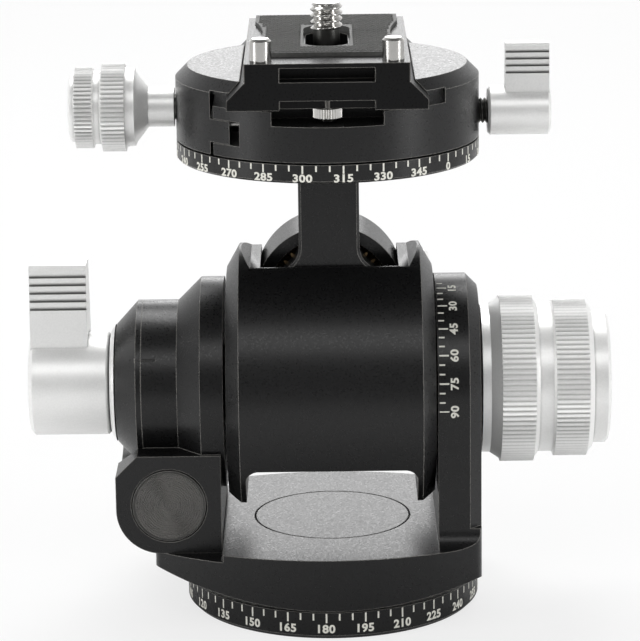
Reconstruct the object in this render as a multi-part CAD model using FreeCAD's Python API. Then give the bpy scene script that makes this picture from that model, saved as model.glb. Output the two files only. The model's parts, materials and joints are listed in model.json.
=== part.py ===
import FreeCAD, Part
import math
import os

os.makedirs("parts", exist_ok=True)

V = FreeCAD.Vector
X_AXIS = V(1, 0, 0)
Y_AXIS = V(0, 1, 0)
Z_AXIS = V(0, 0, 1)

# Main places, in mm. The origin is the centre of the base's underside, +Z up, -Y towards the front.
TILT_Z = 45.0
ROLL_ABOVE_TILT = 17.5
ROLL_Z = TILT_Z + ROLL_ABOVE_TILT

# Fits
RUN_GAP = 0.05
FACE_GAP = 0.3
BODY_GAP = 0.4

# Base ring and panorama bearing
BASE_R = 29.7
BASE_H = 5.6
BASE_CHAMFER = 0.8
POST_R = 12.0
POST_TOP = 10.8
NECK_R = 9.0
NECK_TOP = 12.6
SOCKET_R = 4.76
SOCKET_DEPTH = 9.0
RETAINER_R = 13.0
RETAINER_T = 1.5
RETAINER_SCREW_CIRCLE = 6.7
RETAINER_SCREW_R = 1.2

# Frame: plate and right arm
PLATE_TOP = 16.4
PLATE_UNDER = BASE_H + FACE_GAP
PLATE_FRONT = 30.0
PLATE_FRONT_R = 58.0
PLATE_LEFT = -35.4
PLATE_RIGHT = 29.6
PLATE_CORNER = 3.0
PLATE_CONE_SLOPE = 0.62
PAN_CAP_R = 15.9
PAN_CAP_T = 2.0
ARM_R = 21.4
ARM_INNER = 21.0
ARM_CHAMFER = 2.3
ARM_FOOT_R = 3.5
TRUNNION_R = 9.5
BUSH_WALL = 2.0

# Cradle drum
DRUM_R = 28.0
DRUM_FACE = 18.0
DRUM_HALF = 20.6
DRUM_BEVEL = 4.6
DRUM_FLAT_Z = 25.5
DRUM_BACK = 14.0
DRUM_CUT_HALF = 16.9
DRUM_CUT_TOP = 33.3
DRUM_CUT_R = 2.5
SADDLE_Z = 70.85
SADDLE_HALF = 15.7
SADDLE_SLANT = 1.8
SLOT_HALF = 13.7

# Roll drive
ROLL_HOUSING_R = 15.1
ROLL_HOUSING_FRONT = -3.1
ROLL_HOUSING_BACK = 13.4
ROLL_CAVITY_R = 12.7
ROLL_TEETH = 37
ROLL_PITCH_R = 11.5
ROLL_WHEEL_HALF = 2.6
AXLE_R = 4.0
ADDENDUM = 0.6
DEDENDUM = 0.75
TOOTH_SHARE = 0.36

# Stem
STEM_HALF = 6.0
STEM_FRONT = -9.5
STEM_BACK = -3.4
STEM_TOP_BACK = 9.0
STEM_GUSSET_H = 5.5
STEM_HUB_R = 11.5
STEM_FILLET = 4.5
STEM_CHAMFER = 0.5

# Left housing and tilt drive
HOUSING_END = -43.0
HOUSING_FACE_R = 12.0
HOUSING_R1 = 16.7
HOUSING_R2 = 21.3
HOUSING_CHAMFER_X = -38.7
HOUSING_CONE_X1 = -30.5
HOUSING_CONE_X2 = -25.8
HOUSING_INNER = -21.2
COVER_SEAT = -37.6
TILT_WORM_DROP = 20.2
TILT_TEETH = 48
TILT_PITCH_R = 14.0
WORM_PLANE_X = -32.35
TILT_WHEEL_HALF = 2.6
BLOCK_LEFT = -42.9
BLOCK_RIGHT = -22.0
BLOCK_TOP = 35.0
BLOCK_BOTTOM = 14.9
BLOCK_FRONT = -19.6
BLOCK_BACK = 19.6
BLOCK_CHAMFER = 4.3
BLOCK_ROUND = 9.0
WORM_CAP_R = 7.5
WORM_CAP_T = 1.8
LEFT_SHAFT_R = 8.0

# Right knob, on the roll worm's shaft
KNOB_START = 30.2
KNOB_COLLAR_R = 15.0
KNOB_BEVEL_X = 31.9
KNOB_BAND1_X = 34.0
KNOB_BAND1_R = 16.9
KNOB_VALLEY_X1 = 41.6
KNOB_VALLEY_X2 = 44.3
KNOB_VALLEY_R = 15.0
KNOB_BAND2_R = 15.9
KNOB_BAND2_END = 52.4
KNOB_CAP_R = 13.3
KNOB_END = 55.8
KNOB_TEETH = 96
KNURL_DEPTH = 0.45

# Wing levers
LEVER_HUB_R = 10.45
LEVER_HUB_L = 16.3
LEVER_WING_R = 25.2
LEVER_WING_L = 11.8
LEVER_RIDGES = 5
SMALL_HUB_R = 4.85
SMALL_HUB_L = 12.4
SMALL_WING_R = 13.6
SMALL_WING_L = 8.9
SMALL_RIDGES = 4
STUD_R = 2.5

# Clamp
SCALE_R = 30.0
SCALE_BOTTOM = 91.7
SCALE_TOP = 95.3
CLAMP_BOTTOM = 95.7
CLAMP_TOP = 110.2
CLAMP_EDGE = 2.4
CLAMP_POST_R = 12.0
CLAMP_POST_TOP = 102.0
CHANNEL_FLOOR = 105.3
CHANNEL_HALF = 22.6
LIP_UNDER = 108.1
LIP_HALF = 16.75
JAW_FACE = -22.6
JAW_GAP = 0.6
TONGUE_TIP = -18.8
TONGUE_LOW = 98.2
TONGUE_HIGH = 102.7
TONGUE_TRAVEL = 1.9
POCKET_HALF = 10.7
POCKET_FLOOR = 102.6
POCKET_BACK = -20.0
CLAMP_SCREW_Z = 101.5
CLAMP_SCREW_R = 2.5
PAN_LEVER_Z = 100.0

# Quick release plate
QR_HALF_L = 28.5
QR_BOTTOM = 105.6
QR_TOP = 114.6
QR_FOOT_HALF = 19.2
QR_NECK_HALF = 15.8
QR_EDGE_Z = 107.5
QR_NECK_Z = 110.9
PAD_T = 0.8
CAMERA_SCREW_R = 3.175
CAMERA_NECK_R = 2.7
CAMERA_SCREW_TOP = 122.0
PIN_R = 2.1
PIN_H = 4.4
PIN_SPIGOT = 4.0
PIN_SPIGOT_R = 1.8
PIN_X = 12.6
PIN_Y = -25.3

# Inner sizes and places that follow from the values above
PAN_STUD_Z = 8.7
HOUSING_SCREW_SEAT = 12.2
HOUSING_SCREWS = ((-27.0, -9.0), (-27.0, 9.0))
WHEEL_CAVITY_R = TILT_PITCH_R + ADDENDUM + 0.4
TILT_WORM_PITCH_R = TILT_WORM_DROP - TILT_PITCH_R
TILT_WORM_BORE_R = TILT_WORM_PITCH_R + ADDENDUM + 0.3
TILT_LEAD = 2 * math.pi * TILT_PITCH_R / TILT_TEETH
ROLL_WORM_PITCH_R = ROLL_ABOVE_TILT - ROLL_PITCH_R
ROLL_WORM_BORE_R = ROLL_WORM_PITCH_R + ADDENDUM + 0.4
ROLL_LEAD = 2 * math.pi * ROLL_PITCH_R / ROLL_TEETH
COVER_SCREW_CIRCLE = 0.5 * (WHEEL_CAVITY_R + HOUSING_R1) + 0.05
COVER_SCREWS = tuple((COVER_SCREW_CIRCLE * math.cos(math.radians(a)),
                      TILT_Z + COVER_SCREW_CIRCLE * math.sin(math.radians(a))) for a in (30, 90, 150))
TRUNNION_LEFT_END = -39.9
TILT_SHAFT_R = 3.0
BUSH_Y = 12.0
TILT_KNOB_R = 8.8
TILT_KNOB_L = 12.0
AXLE_FRONT = -13.6
AXLE_BACK = 7.2
WORM_HALF = 7.5
WORM_POCKET = 8.6
LEVER_COLLAR_T = 0.9
ROLL_LEVER_HUB_R = 8.4
ROLL_LEVER_HUB_L = 13.4
ROLL_LEVER_WING_R = 20.7
ROLL_LEVER_Y = ROLL_HOUSING_BACK + 0.9
PAN_LEVER_Y = 31.2
PAN_STUD_R = STUD_R - 0.6
STEM_SCREWS = ((0.0, -6.2), (0.0, 5.6))
RETAIN_HEAD_R = 3.5
GUIDE_Y = (-13.0, 13.0)
GUIDE_R = 1.5
GUIDE_Z = 100.4
GUIDE_LEFT = -25.6
CLAMP_KNOB_END = -51.0
CLAMP_KNOB_TEETH = 56
TOP_LEVER_X = 31.7
STOP_Y = -25.0
PAD_SINK = 0.5
PAD_FRONT = -20.5
PAD_BACK = 27.0
PAD_HALF = 14.4
PAD_WAIST_R = 70.0
PAD_WAIST = 1.7


def cyl(axis, radius, start, end, centre=(0, 0)):
    """A cylinder along X, Y or Z from start to end; centre holds the other two coordinates."""
    length = end - start
    if axis == X_AXIS:
        return Part.makeCylinder(radius, length, V(start, centre[0], centre[1]), X_AXIS)
    if axis == Y_AXIS:
        return Part.makeCylinder(radius, length, V(centre[0], start, centre[1]), Y_AXIS)
    return Part.makeCylinder(radius, length, V(centre[0], centre[1], start), Z_AXIS)


def box(x0, x1, y0, y1, z0, z1):
    return Part.makeBox(x1 - x0, y1 - y0, z1 - z0, V(x0, y0, z0))


def polygon(points):
    return Part.Face(Part.makePolygon(points + [points[0]]))


def turned(axis, profile, centre):
    """A solid turned about an axis. The profile is a list of (position along the axis, radius)."""
    if axis == X_AXIS:
        points = [V(a, centre[1], centre[2] + r) for a, r in profile]
    elif axis == Y_AXIS:
        points = [V(centre[0], a, centre[2] + r) for a, r in profile]
    else:
        points = [V(centre[0] + r, centre[1], a) for a, r in profile]
    return polygon(points).revolve(V(*centre), axis, 360)


def prism_y(points, y0, y1):
    """An outline of (x, z) points carried along Y."""
    return polygon([V(x, y0, z) for x, z in points]).extrude(V(0, y1 - y0, 0))


def prism_x(points, x0, x1):
    """An outline of (y, z) points carried along X."""
    return polygon([V(x0, y, z) for y, z in points]).extrude(V(x1 - x0, 0, 0))


def prism_z(points, z0, z1):
    return polygon([V(x, y, z0) for x, y in points]).extrude(V(0, 0, z1 - z0))


def toothed_ring(axis, radius, depth, teeth, start, end, centre):
    """A prism whose outline is a ring of V teeth, for a knurled band."""
    points = []
    for i in range(2 * teeth):
        r = radius if i % 2 == 0 else radius - depth
        a = math.pi * i / teeth
        points.append((r * math.cos(a), r * math.sin(a)))
    if axis == X_AXIS:
        face = polygon([V(start, centre[1] + p, centre[2] + q) for p, q in points])
    elif axis == Y_AXIS:
        face = polygon([V(centre[0] + p, start, centre[2] + q) for p, q in points])
    else:
        face = polygon([V(centre[0] + p, centre[1] + q, start) for p, q in points])
    return face.extrude(axis * (end - start))


def gear_wheel(axis, teeth, pitch_r, half, centre, phase):
    """A worm wheel with straight trapezoid teeth. phase turns it by a share of one tooth."""
    step = 2 * math.pi / teeth
    tip_r = pitch_r + ADDENDUM
    root_r = pitch_r - DEDENDUM
    half_pitch = TOOTH_SHARE * step / 2
    half_tip = half_pitch - ADDENDUM * math.tan(math.radians(20)) / pitch_r
    half_root = half_pitch + DEDENDUM * math.tan(math.radians(20)) / pitch_r
    points = []
    for i in range(teeth):
        mid = (i + phase) * step
        for turn, r in ((-half_root, root_r), (-half_tip, tip_r), (half_tip, tip_r), (half_root, root_r)):
            a = mid + turn
            points.append((r * math.sin(a), -r * math.cos(a)))
    if axis == X_AXIS:
        face = polygon([V(centre[0] - half, centre[1] + p, centre[2] + q) for p, q in points])
    else:
        face = polygon([V(centre[0] + p, centre[1] - half, centre[2] + q) for p, q in points])
    return face.extrude(axis * (2 * half))


def worm(lead, pitch_r, half_length):
    """A right-handed worm along Z about the origin: a core with one helical thread."""
    root_r = pitch_r - DEDENDUM
    tip_r = pitch_r + ADDENDUM
    flank = math.tan(math.radians(20))
    half_pitch = TOOTH_SHARE * lead / 2
    half_tip = half_pitch - ADDENDUM * flank
    inset = 0.3
    half_root = half_pitch + (DEDENDUM + inset) * flank
    turns = math.ceil(half_length / lead + 0.5)
    length = 2 * turns * lead
    helix = Part.makeHelix(lead, length, root_r)
    profile = Part.makePolygon([
        V(root_r - inset, 0, -half_root),
        V(tip_r, 0, -half_tip),
        V(tip_r, 0, half_tip),
        V(root_r - inset, 0, half_root),
        V(root_r - inset, 0, -half_root),
    ])
    thread = Part.Wire(helix).makePipeShell([profile], True, True)
    thread.translate(V(0, 0, -length / 2))
    core = Part.makeCylinder(root_r, 2 * half_length, V(0, 0, -half_length), Z_AXIS)
    limit = Part.makeCylinder(tip_r + 1, 2 * half_length, V(0, 0, -half_length), Z_AXIS)
    return core.fuse(thread.common(limit))


def ring_of_holes(circle, hole_r, z0, z1, count, start_angle):
    holes = []
    for i in range(count):
        a = math.radians(start_angle + 360 * i / count)
        holes.append(cyl(Z_AXIS, hole_r, z0, z1, (circle * math.cos(a), circle * math.sin(a))))
    return holes


def wing_lever(hub_r, hub_l, wing_r, wing_l, ridges):
    """A wing lever along Z: the hub stands on the origin and the wing points along +X."""
    edge = min(0.8, 0.1 * hub_r)
    hub = turned(Z_AXIS, [(0, 0), (0, hub_r - edge), (edge, hub_r), (hub_l - edge, hub_r),
                          (hub_l, hub_r - edge), (hub_l, 0)], (0, 0, 0))
    wing_z0 = hub_l - wing_l
    root_half = 0.62 * hub_r
    tip_half = 0.38 * hub_r
    points = [(0, -root_half), (wing_r - edge, -tip_half), (wing_r, -tip_half + edge),
              (wing_r, tip_half - edge), (wing_r - edge, tip_half), (0, root_half)]
    wing = prism_z(points, wing_z0, hub_l - edge / 2)
    pitch = 0.55 * (wing_r - hub_r) / ridges if ridges > 4 else 0.62 * (wing_r - hub_r) / ridges
    depth = 0.35 * pitch
    for side in (-1, 1):
        for i in range(ridges):
            x1 = wing_r - edge - i * pitch
            x0 = x1 - pitch
            y = side * (tip_half + (root_half - tip_half) * (wing_r - x1) / wing_r)
            cut = prism_z([(x0, y - side * depth), (x1, y + side * 0.6), (x0, y + side * 0.6)],
                          wing_z0 - 1, hub_l + 1)
            wing = wing.cut(cut)
    return hub.fuse(wing).removeSplitter()


def place(shape, base, z_to, x_to):
    """Put a shape made along Z so that its Z points along z_to and its X along x_to."""
    y_to = z_to.cross(x_to)
    m = FreeCAD.Matrix(x_to.x, y_to.x, z_to.x, base[0],
                       x_to.y, y_to.y, z_to.y, base[1],
                       x_to.z, y_to.z, z_to.z, base[2],
                       0, 0, 0, 1)
    return shape.copy().transformed(m)


def base_ring():
    body = turned(Z_AXIS, [(0, 0), (0, BASE_R - BASE_CHAMFER), (BASE_CHAMFER, BASE_R), (BASE_H, BASE_R),
                           (BASE_H, POST_R), (POST_TOP, POST_R), (POST_TOP, NECK_R), (NECK_TOP, NECK_R),
                           (NECK_TOP, 0)], (0, 0, 0))
    body = body.cut(cyl(Z_AXIS, SOCKET_R, 0, SOCKET_DEPTH))
    for hole in ring_of_holes(RETAINER_SCREW_CIRCLE, RETAINER_SCREW_R, NECK_TOP - 5, NECK_TOP, 3, 90):
        body = body.cut(hole)
    return body


def pan_retainer():
    z0 = NECK_TOP + RUN_GAP
    body = cyl(Z_AXIS, RETAINER_R, z0, z0 + RETAINER_T)
    for hole in ring_of_holes(RETAINER_SCREW_CIRCLE, RETAINER_SCREW_R + RUN_GAP, z0, z0 + RETAINER_T, 3, 90):
        body = body.cut(hole)
    for sink in ring_of_holes(RETAINER_SCREW_CIRCLE, 2 * RETAINER_SCREW_R + RUN_GAP, z0 + 0.7,
                              z0 + RETAINER_T, 3, 90):
        body = body.cut(sink)
    return body


def pan_retainer_screws():
    z0 = NECK_TOP + RUN_GAP
    shanks = ring_of_holes(RETAINER_SCREW_CIRCLE, RETAINER_SCREW_R - RUN_GAP / 2, NECK_TOP - 4.5,
                           z0 + 0.8, 3, 90)
    heads = ring_of_holes(RETAINER_SCREW_CIRCLE, 2 * RETAINER_SCREW_R - RUN_GAP, z0 + 0.75,
                          z0 + RETAINER_T - 0.1, 3, 90)
    return Part.makeCompound([s.fuse(h) for s, h in zip(shanks, heads)])


def plate_outline(z0, z1):
    """The plate's plan: a front and a back arc between a left and a right side."""
    centre_y = PLATE_FRONT_R - PLATE_FRONT
    front = Part.makeCylinder(PLATE_FRONT_R, z1 - z0, V(0, centre_y, z0), Z_AXIS)
    back = Part.makeCylinder(PLATE_FRONT_R, z1 - z0, V(0, -centre_y, z0), Z_AXIS)
    sides = box(PLATE_LEFT, PLATE_RIGHT, -PLATE_FRONT_R, PLATE_FRONT_R, z0, z1)
    plan = front.common(back).common(sides)
    corners = [e for e in plan.Edges if abs(e.Length - (z1 - z0)) < 0.01 and e.Vertexes[0].X < 0]
    corners += [e for e in plan.Edges if abs(e.Length - (z1 - z0)) < 0.01 and e.Vertexes[0].X > 0]
    return plan.makeFillet(PLATE_CORNER, corners)


def frame():
    plan = plate_outline(PLATE_UNDER, PLATE_TOP)
    reach = 50.0
    cone = turned(Z_AXIS, [(PLATE_UNDER, 0), (PLATE_UNDER, PLATE_FRONT),
                           (PLATE_UNDER + reach * PLATE_CONE_SLOPE, PLATE_FRONT + reach),
                           (PLATE_UNDER + reach * PLATE_CONE_SLOPE, 0)], (0, 0, 0))
    plate = plan.common(cone)
    arm = cyl(X_AXIS, ARM_R, ARM_INNER, PLATE_RIGHT, (0, TILT_Z))
    arm = arm.fuse(box(ARM_INNER, PLATE_RIGHT, -ARM_R, ARM_R, PLATE_TOP - 2, TILT_Z)).removeSplitter()
    rim = [e for e in arm.Edges if all(abs(v.X - PLATE_RIGHT) < 0.01 for v in e.Vertexes)
           and e.BoundBox.ZMax > PLATE_TOP]
    arm = arm.makeChamfer(ARM_CHAMFER, rim)
    foot = ARM_FOOT_R
    filler = box(ARM_INNER, PLATE_RIGHT, -ARM_R - foot, ARM_R + foot, PLATE_TOP, PLATE_TOP + foot)
    for side in (-1, 1):
        filler = filler.cut(cyl(X_AXIS, foot, ARM_INNER - 1, PLATE_RIGHT + 1,
                                (side * (ARM_R + foot), PLATE_TOP + foot)))
    filler = filler.common(plate_outline(PLATE_TOP, PLATE_TOP + foot))
    filler = filler.common(box(ARM_INNER, PLATE_RIGHT, -60, 60, PLATE_TOP, PLATE_TOP + foot))
    body = plate.fuse(arm).fuse(filler).removeSplitter()
    body = body.cut(box(-60, BLOCK_RIGHT + FACE_GAP, -60, 60, BLOCK_BOTTOM, 40))
    body = body.cut(cyl(Z_AXIS, POST_R + RUN_GAP, 0, POST_TOP + 0.2))
    body = body.cut(cyl(Z_AXIS, NECK_R + RUN_GAP, 0, NECK_TOP))
    body = body.cut(cyl(Z_AXIS, RETAINER_R + 0.3, POST_TOP + 1.5, PLATE_TOP))
    body = body.cut(cyl(Z_AXIS, PAN_CAP_R + RUN_GAP, PLATE_TOP - PAN_CAP_T, PLATE_TOP))
    body = body.cut(cyl(X_AXIS, TRUNNION_R + BUSH_WALL, 15, 40, (0, TILT_Z)))
    body = body.cut(cyl(Y_AXIS, STUD_R + RUN_GAP - 0.6, 0, 40, (0, PAN_STUD_Z)))
    for x, y in HOUSING_SCREWS:
        body = body.cut(cyl(Z_AXIS, 1.6, 0, BLOCK_BOTTOM, (x, y)))
        body = body.cut(cyl(Z_AXIS, 3.1, 0, HOUSING_SCREW_SEAT, (x, y)))
    return body


def housing_screws():
    solids = []
    for x, y in HOUSING_SCREWS:
        shank = cyl(Z_AXIS, 1.5, HOUSING_SCREW_SEAT, BLOCK_BOTTOM + 4.0, (x, y))
        head = cyl(Z_AXIS, 2.9, HOUSING_SCREW_SEAT - 2.0, HOUSING_SCREW_SEAT, (x, y))
        socket = cyl(Z_AXIS, 1.2, HOUSING_SCREW_SEAT - 2.0, HOUSING_SCREW_SEAT - 0.8, (x, y))
        solids.append(shank.fuse(head).cut(socket))
    return Part.makeCompound(solids)


def pan_cap():
    body = turned(Z_AXIS, [(PLATE_TOP - PAN_CAP_T + 0.05, 0), (PLATE_TOP - PAN_CAP_T + 0.05, PAN_CAP_R),
                           (PLATE_TOP - 0.35, PAN_CAP_R), (PLATE_TOP, PAN_CAP_R - 0.35),
                           (PLATE_TOP, 0)], (0, 0, 0))
    return body


def housing():
    centre = (0, 0, TILT_Z)
    barrel = turned(X_AXIS, [(COVER_SEAT, 0), (COVER_SEAT, HOUSING_R1), (HOUSING_CONE_X1, HOUSING_R1),
                             (HOUSING_CONE_X2, HOUSING_R2), (HOUSING_INNER, HOUSING_R2),
                             (HOUSING_INNER, 0)], centre)
    outline = box(BLOCK_LEFT, BLOCK_RIGHT, BLOCK_FRONT, BLOCK_BACK, BLOCK_BOTTOM, BLOCK_TOP)
    lower = [e for e in outline.Edges if abs(e.BoundBox.ZMax - BLOCK_BOTTOM) < 0.01
             and abs(e.BoundBox.XMax - BLOCK_LEFT) < 0.01]
    outline = outline.makeFillet(BLOCK_ROUND, lower)
    upper = [e for e in outline.Edges if abs(e.BoundBox.ZMin - BLOCK_TOP) < 0.01
             and abs(e.BoundBox.XMax - BLOCK_LEFT) < 0.01]
    outline = outline.makeChamfer(BLOCK_CHAMFER, upper)
    web = box(HOUSING_CONE_X1, HOUSING_INNER - 0.8, -HOUSING_R1, HOUSING_R1, BLOCK_TOP - 1, TILT_Z)
    body = barrel.fuse(outline).fuse(web.common(barrel)).removeSplitter()
    body = body.cut(cyl(X_AXIS, WHEEL_CAVITY_R, COVER_SEAT, WORM_PLANE_X + TILT_WHEEL_HALF + 1.0, (0, TILT_Z)))
    body = body.cut(cyl(X_AXIS, LEFT_SHAFT_R + BUSH_WALL, WORM_PLANE_X, 0, (0, TILT_Z)))
    worm_z = TILT_Z - TILT_WORM_DROP
    body = body.cut(cyl(Y_AXIS, TILT_WORM_BORE_R, BLOCK_FRONT, BLOCK_BACK, (WORM_PLANE_X, worm_z)))
    body = body.cut(cyl(Y_AXIS, WORM_CAP_R + RUN_GAP, BLOCK_FRONT, BLOCK_FRONT + WORM_CAP_T,
                        (WORM_PLANE_X, worm_z)))
    left_relief = box(BLOCK_LEFT - 1, COVER_SEAT, -HOUSING_R1 - 0.6, HOUSING_R1 + 0.6, TILT_Z - HOUSING_R1 - 0.3,
                      BLOCK_TOP + 1)
    body = body.cut(left_relief.common(cyl(X_AXIS, HOUSING_R1 + 0.3, BLOCK_LEFT - 1, COVER_SEAT, (0, TILT_Z))))
    for x, y in HOUSING_SCREWS:
        body = body.cut(cyl(Z_AXIS, 1.55, BLOCK_BOTTOM, BLOCK_BOTTOM + 4.5, (x, y)))
    for y, z in COVER_SCREWS:
        body = body.cut(cyl(X_AXIS, 0.75, COVER_SEAT, COVER_SEAT + 3.0, (y, z)))
    return body


def housing_cover():
    body = turned(X_AXIS, [(COVER_SEAT, 0), (HOUSING_END, 0), (HOUSING_END, HOUSING_FACE_R),
                           (HOUSING_CHAMFER_X, HOUSING_R1), (COVER_SEAT, HOUSING_R1)], (0, 0, TILT_Z))
    body = body.cut(cyl(X_AXIS, LEFT_SHAFT_R + 0.4, TRUNNION_LEFT_END - 0.8, COVER_SEAT, (0, TILT_Z)))
    body = body.cut(cyl(X_AXIS, STUD_R + RUN_GAP, HOUSING_END, COVER_SEAT, (0, TILT_Z)))
    body = body.cut(cyl(Y_AXIS, TILT_WORM_BORE_R, -20, 20, (WORM_PLANE_X, TILT_Z - TILT_WORM_DROP)))
    for y, z in COVER_SCREWS:
        body = body.cut(cyl(X_AXIS, 0.75, COVER_SEAT - 1.2, COVER_SEAT, (y, z)))
    return body


def tilt_brake_pad():
    return cyl(X_AXIS, 5.5, TRUNNION_LEFT_END - 0.75, TRUNNION_LEFT_END - 0.05, (0, TILT_Z))


def housing_cover_screws():
    solids = []
    for y, z in COVER_SCREWS:
        solids.append(cyl(X_AXIS, 0.7, COVER_SEAT - 1.2, COVER_SEAT + 2.8, (y, z)))
    return Part.makeCompound(solids)


def worm_cap():
    """The turned cap with fine rings that closes the tilt worm's bore."""
    z = TILT_Z - TILT_WORM_DROP
    front = BLOCK_FRONT - 0.15
    profile = [(BLOCK_FRONT + WORM_CAP_T - 0.05, 0), (BLOCK_FRONT + WORM_CAP_T - 0.05, WORM_CAP_R),
               (front + 0.3, WORM_CAP_R), (front, WORM_CAP_R - 0.3)]
    rings = 16
    step = (WORM_CAP_R - 0.6) / rings
    for i in range(rings):
        r = WORM_CAP_R - 0.6 - i * step
        profile.append((front, r))
        profile.append((front + 0.12, r - step / 2))
    profile.append((front, 0))
    return turned(Y_AXIS, profile, (WORM_PLANE_X, 0, z))


def tilt_worm():
    shape = worm(TILT_LEAD, TILT_WORM_PITCH_R, 7.0)
    shape = place(shape, (WORM_PLANE_X, 0, TILT_Z - TILT_WORM_DROP), Y_AXIS, Z_AXIS)
    z = TILT_Z - TILT_WORM_DROP
    shaft_front = cyl(Y_AXIS, TILT_SHAFT_R, BLOCK_FRONT + WORM_CAP_T + 0.2, -6.9, (WORM_PLANE_X, z))
    shaft_back = cyl(Y_AXIS, TILT_SHAFT_R, 6.9, BLOCK_BACK + 10.0, (WORM_PLANE_X, z))
    return shape.fuse(shaft_front).fuse(shaft_back)


def tilt_worm_bushes():
    solids = []
    for y0, y1 in ((BLOCK_FRONT + WORM_CAP_T + 0.3, -BUSH_Y), (BUSH_Y, BLOCK_BACK)):
        outer = cyl(Y_AXIS, TILT_WORM_BORE_R, y0, y1, (WORM_PLANE_X, TILT_Z - TILT_WORM_DROP))
        inner = cyl(Y_AXIS, TILT_SHAFT_R + RUN_GAP, y0, y1, (WORM_PLANE_X, TILT_Z - TILT_WORM_DROP))
        solids.append(outer.cut(inner))
    return Part.makeCompound(solids)


def tilt_knob():
    z = TILT_Z - TILT_WORM_DROP
    y0 = BLOCK_BACK + BODY_GAP
    y1 = y0 + TILT_KNOB_L
    centre = (WORM_PLANE_X, 0, z)
    body = turned(Y_AXIS, [(y0, 0), (y0, TILT_KNOB_R - 2.0), (y0 + 1.6, TILT_KNOB_R - 0.9),
                           (y1 - 1.6, TILT_KNOB_R - 0.9), (y1, TILT_KNOB_R - 2.2), (y1, 0)], centre)
    band = toothed_ring(Y_AXIS, TILT_KNOB_R, KNURL_DEPTH, 52, y0 + 1.6, y1 - 1.6, centre)
    body = body.fuse(band)
    return body.cut(cyl(Y_AXIS, TILT_SHAFT_R, y0 - 1, BLOCK_BACK + 10.0, (WORM_PLANE_X, z)))


def tilt_wheel():
    body = gear_wheel(X_AXIS, TILT_TEETH, TILT_PITCH_R, TILT_WHEEL_HALF, (WORM_PLANE_X, 0, TILT_Z), 0.5)
    return body.cut(cyl(X_AXIS, LEFT_SHAFT_R, -60, 0, (0, TILT_Z)))


def drum():
    centre = (0, 0, TILT_Z)
    inner_r = DRUM_R - DRUM_BEVEL
    body = turned(X_AXIS, [(-DRUM_HALF, 0), (-DRUM_HALF, inner_r), (-DRUM_FACE, DRUM_R), (DRUM_FACE, DRUM_R),
                           (DRUM_HALF, inner_r), (DRUM_HALF, 0)], centre)
    body = body.cut(box(-30, 30, -40, 40, 0, DRUM_FLAT_Z))
    body = body.cut(box(-30, 30, DRUM_BACK, 40, 0, 90))
    window = box(-DRUM_CUT_HALF, DRUM_CUT_HALF, -40, 40, 0, DRUM_CUT_TOP)
    tops = [e for e in window.Edges if abs(e.BoundBox.ZMin - DRUM_CUT_TOP) < 0.01 and e.BoundBox.YLength > 1]
    window = window.makeFillet(DRUM_CUT_R, tops)
    body = body.cut(window)
    rise = 5.0
    saddle = prism_y([(-SADDLE_HALF, SADDLE_Z), (SADDLE_HALF, SADDLE_Z),
                      (SADDLE_HALF + SADDLE_SLANT * rise / 2, SADDLE_Z + rise),
                      (-SADDLE_HALF - SADDLE_SLANT * rise / 2, SADDLE_Z + rise)], -40, 40)
    body = body.cut(saddle)
    hub_pocket = cyl(Y_AXIS, SLOT_HALF, STEM_FRONT - 0.4, ROLL_HOUSING_FRONT + 0.1, (0, ROLL_Z))
    slot = box(-SLOT_HALF, SLOT_HALF, STEM_FRONT - 0.4, DRUM_BACK + 1, ROLL_Z, 90)
    body = body.cut(hub_pocket).cut(slot)
    body = body.cut(cyl(Y_AXIS, ROLL_HOUSING_R + RUN_GAP, ROLL_HOUSING_FRONT, DRUM_BACK + 1, (0, ROLL_Z)))
    body = body.cut(cyl(Y_AXIS, AXLE_R + RUN_GAP, AXLE_FRONT - 0.3, 0, (0, ROLL_Z)))
    right = cyl(X_AXIS, TRUNNION_R, DRUM_HALF - 2, PLATE_RIGHT, (0, TILT_Z))
    left = cyl(X_AXIS, LEFT_SHAFT_R, TRUNNION_LEFT_END, -DRUM_HALF + 2, (0, TILT_Z))
    body = body.fuse(right).fuse(left)
    body = body.cut(cyl(X_AXIS, ROLL_WORM_BORE_R, -WORM_POCKET, PLATE_RIGHT + 1, (0, TILT_Z)))
    body = body.cut(cyl(X_AXIS, AXLE_R + RUN_GAP, -WORM_POCKET - 6, 0, (0, TILT_Z)))
    return body


def roll_housing():
    body = cyl(Y_AXIS, ROLL_HOUSING_R, ROLL_HOUSING_FRONT, ROLL_HOUSING_BACK, (0, ROLL_Z))
    body = body.cut(cyl(Y_AXIS, ROLL_CAVITY_R, ROLL_HOUSING_FRONT, ROLL_WHEEL_HALF + 0.5, (0, ROLL_Z)))
    body = body.cut(cyl(Y_AXIS, AXLE_R + RUN_GAP, ROLL_HOUSING_FRONT, AXLE_BACK + 1.2, (0, ROLL_Z)))
    body = body.cut(cyl(Y_AXIS, STUD_R + RUN_GAP, 0, ROLL_HOUSING_BACK, (0, ROLL_Z)))
    body = body.cut(cyl(X_AXIS, ROLL_WORM_BORE_R, -30, 30, (0, TILT_Z)))
    return body


def roll_brake_pad():
    return cyl(Y_AXIS, AXLE_R - 0.3, AXLE_BACK + 0.1, AXLE_BACK + 0.9, (0, ROLL_Z))


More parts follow.
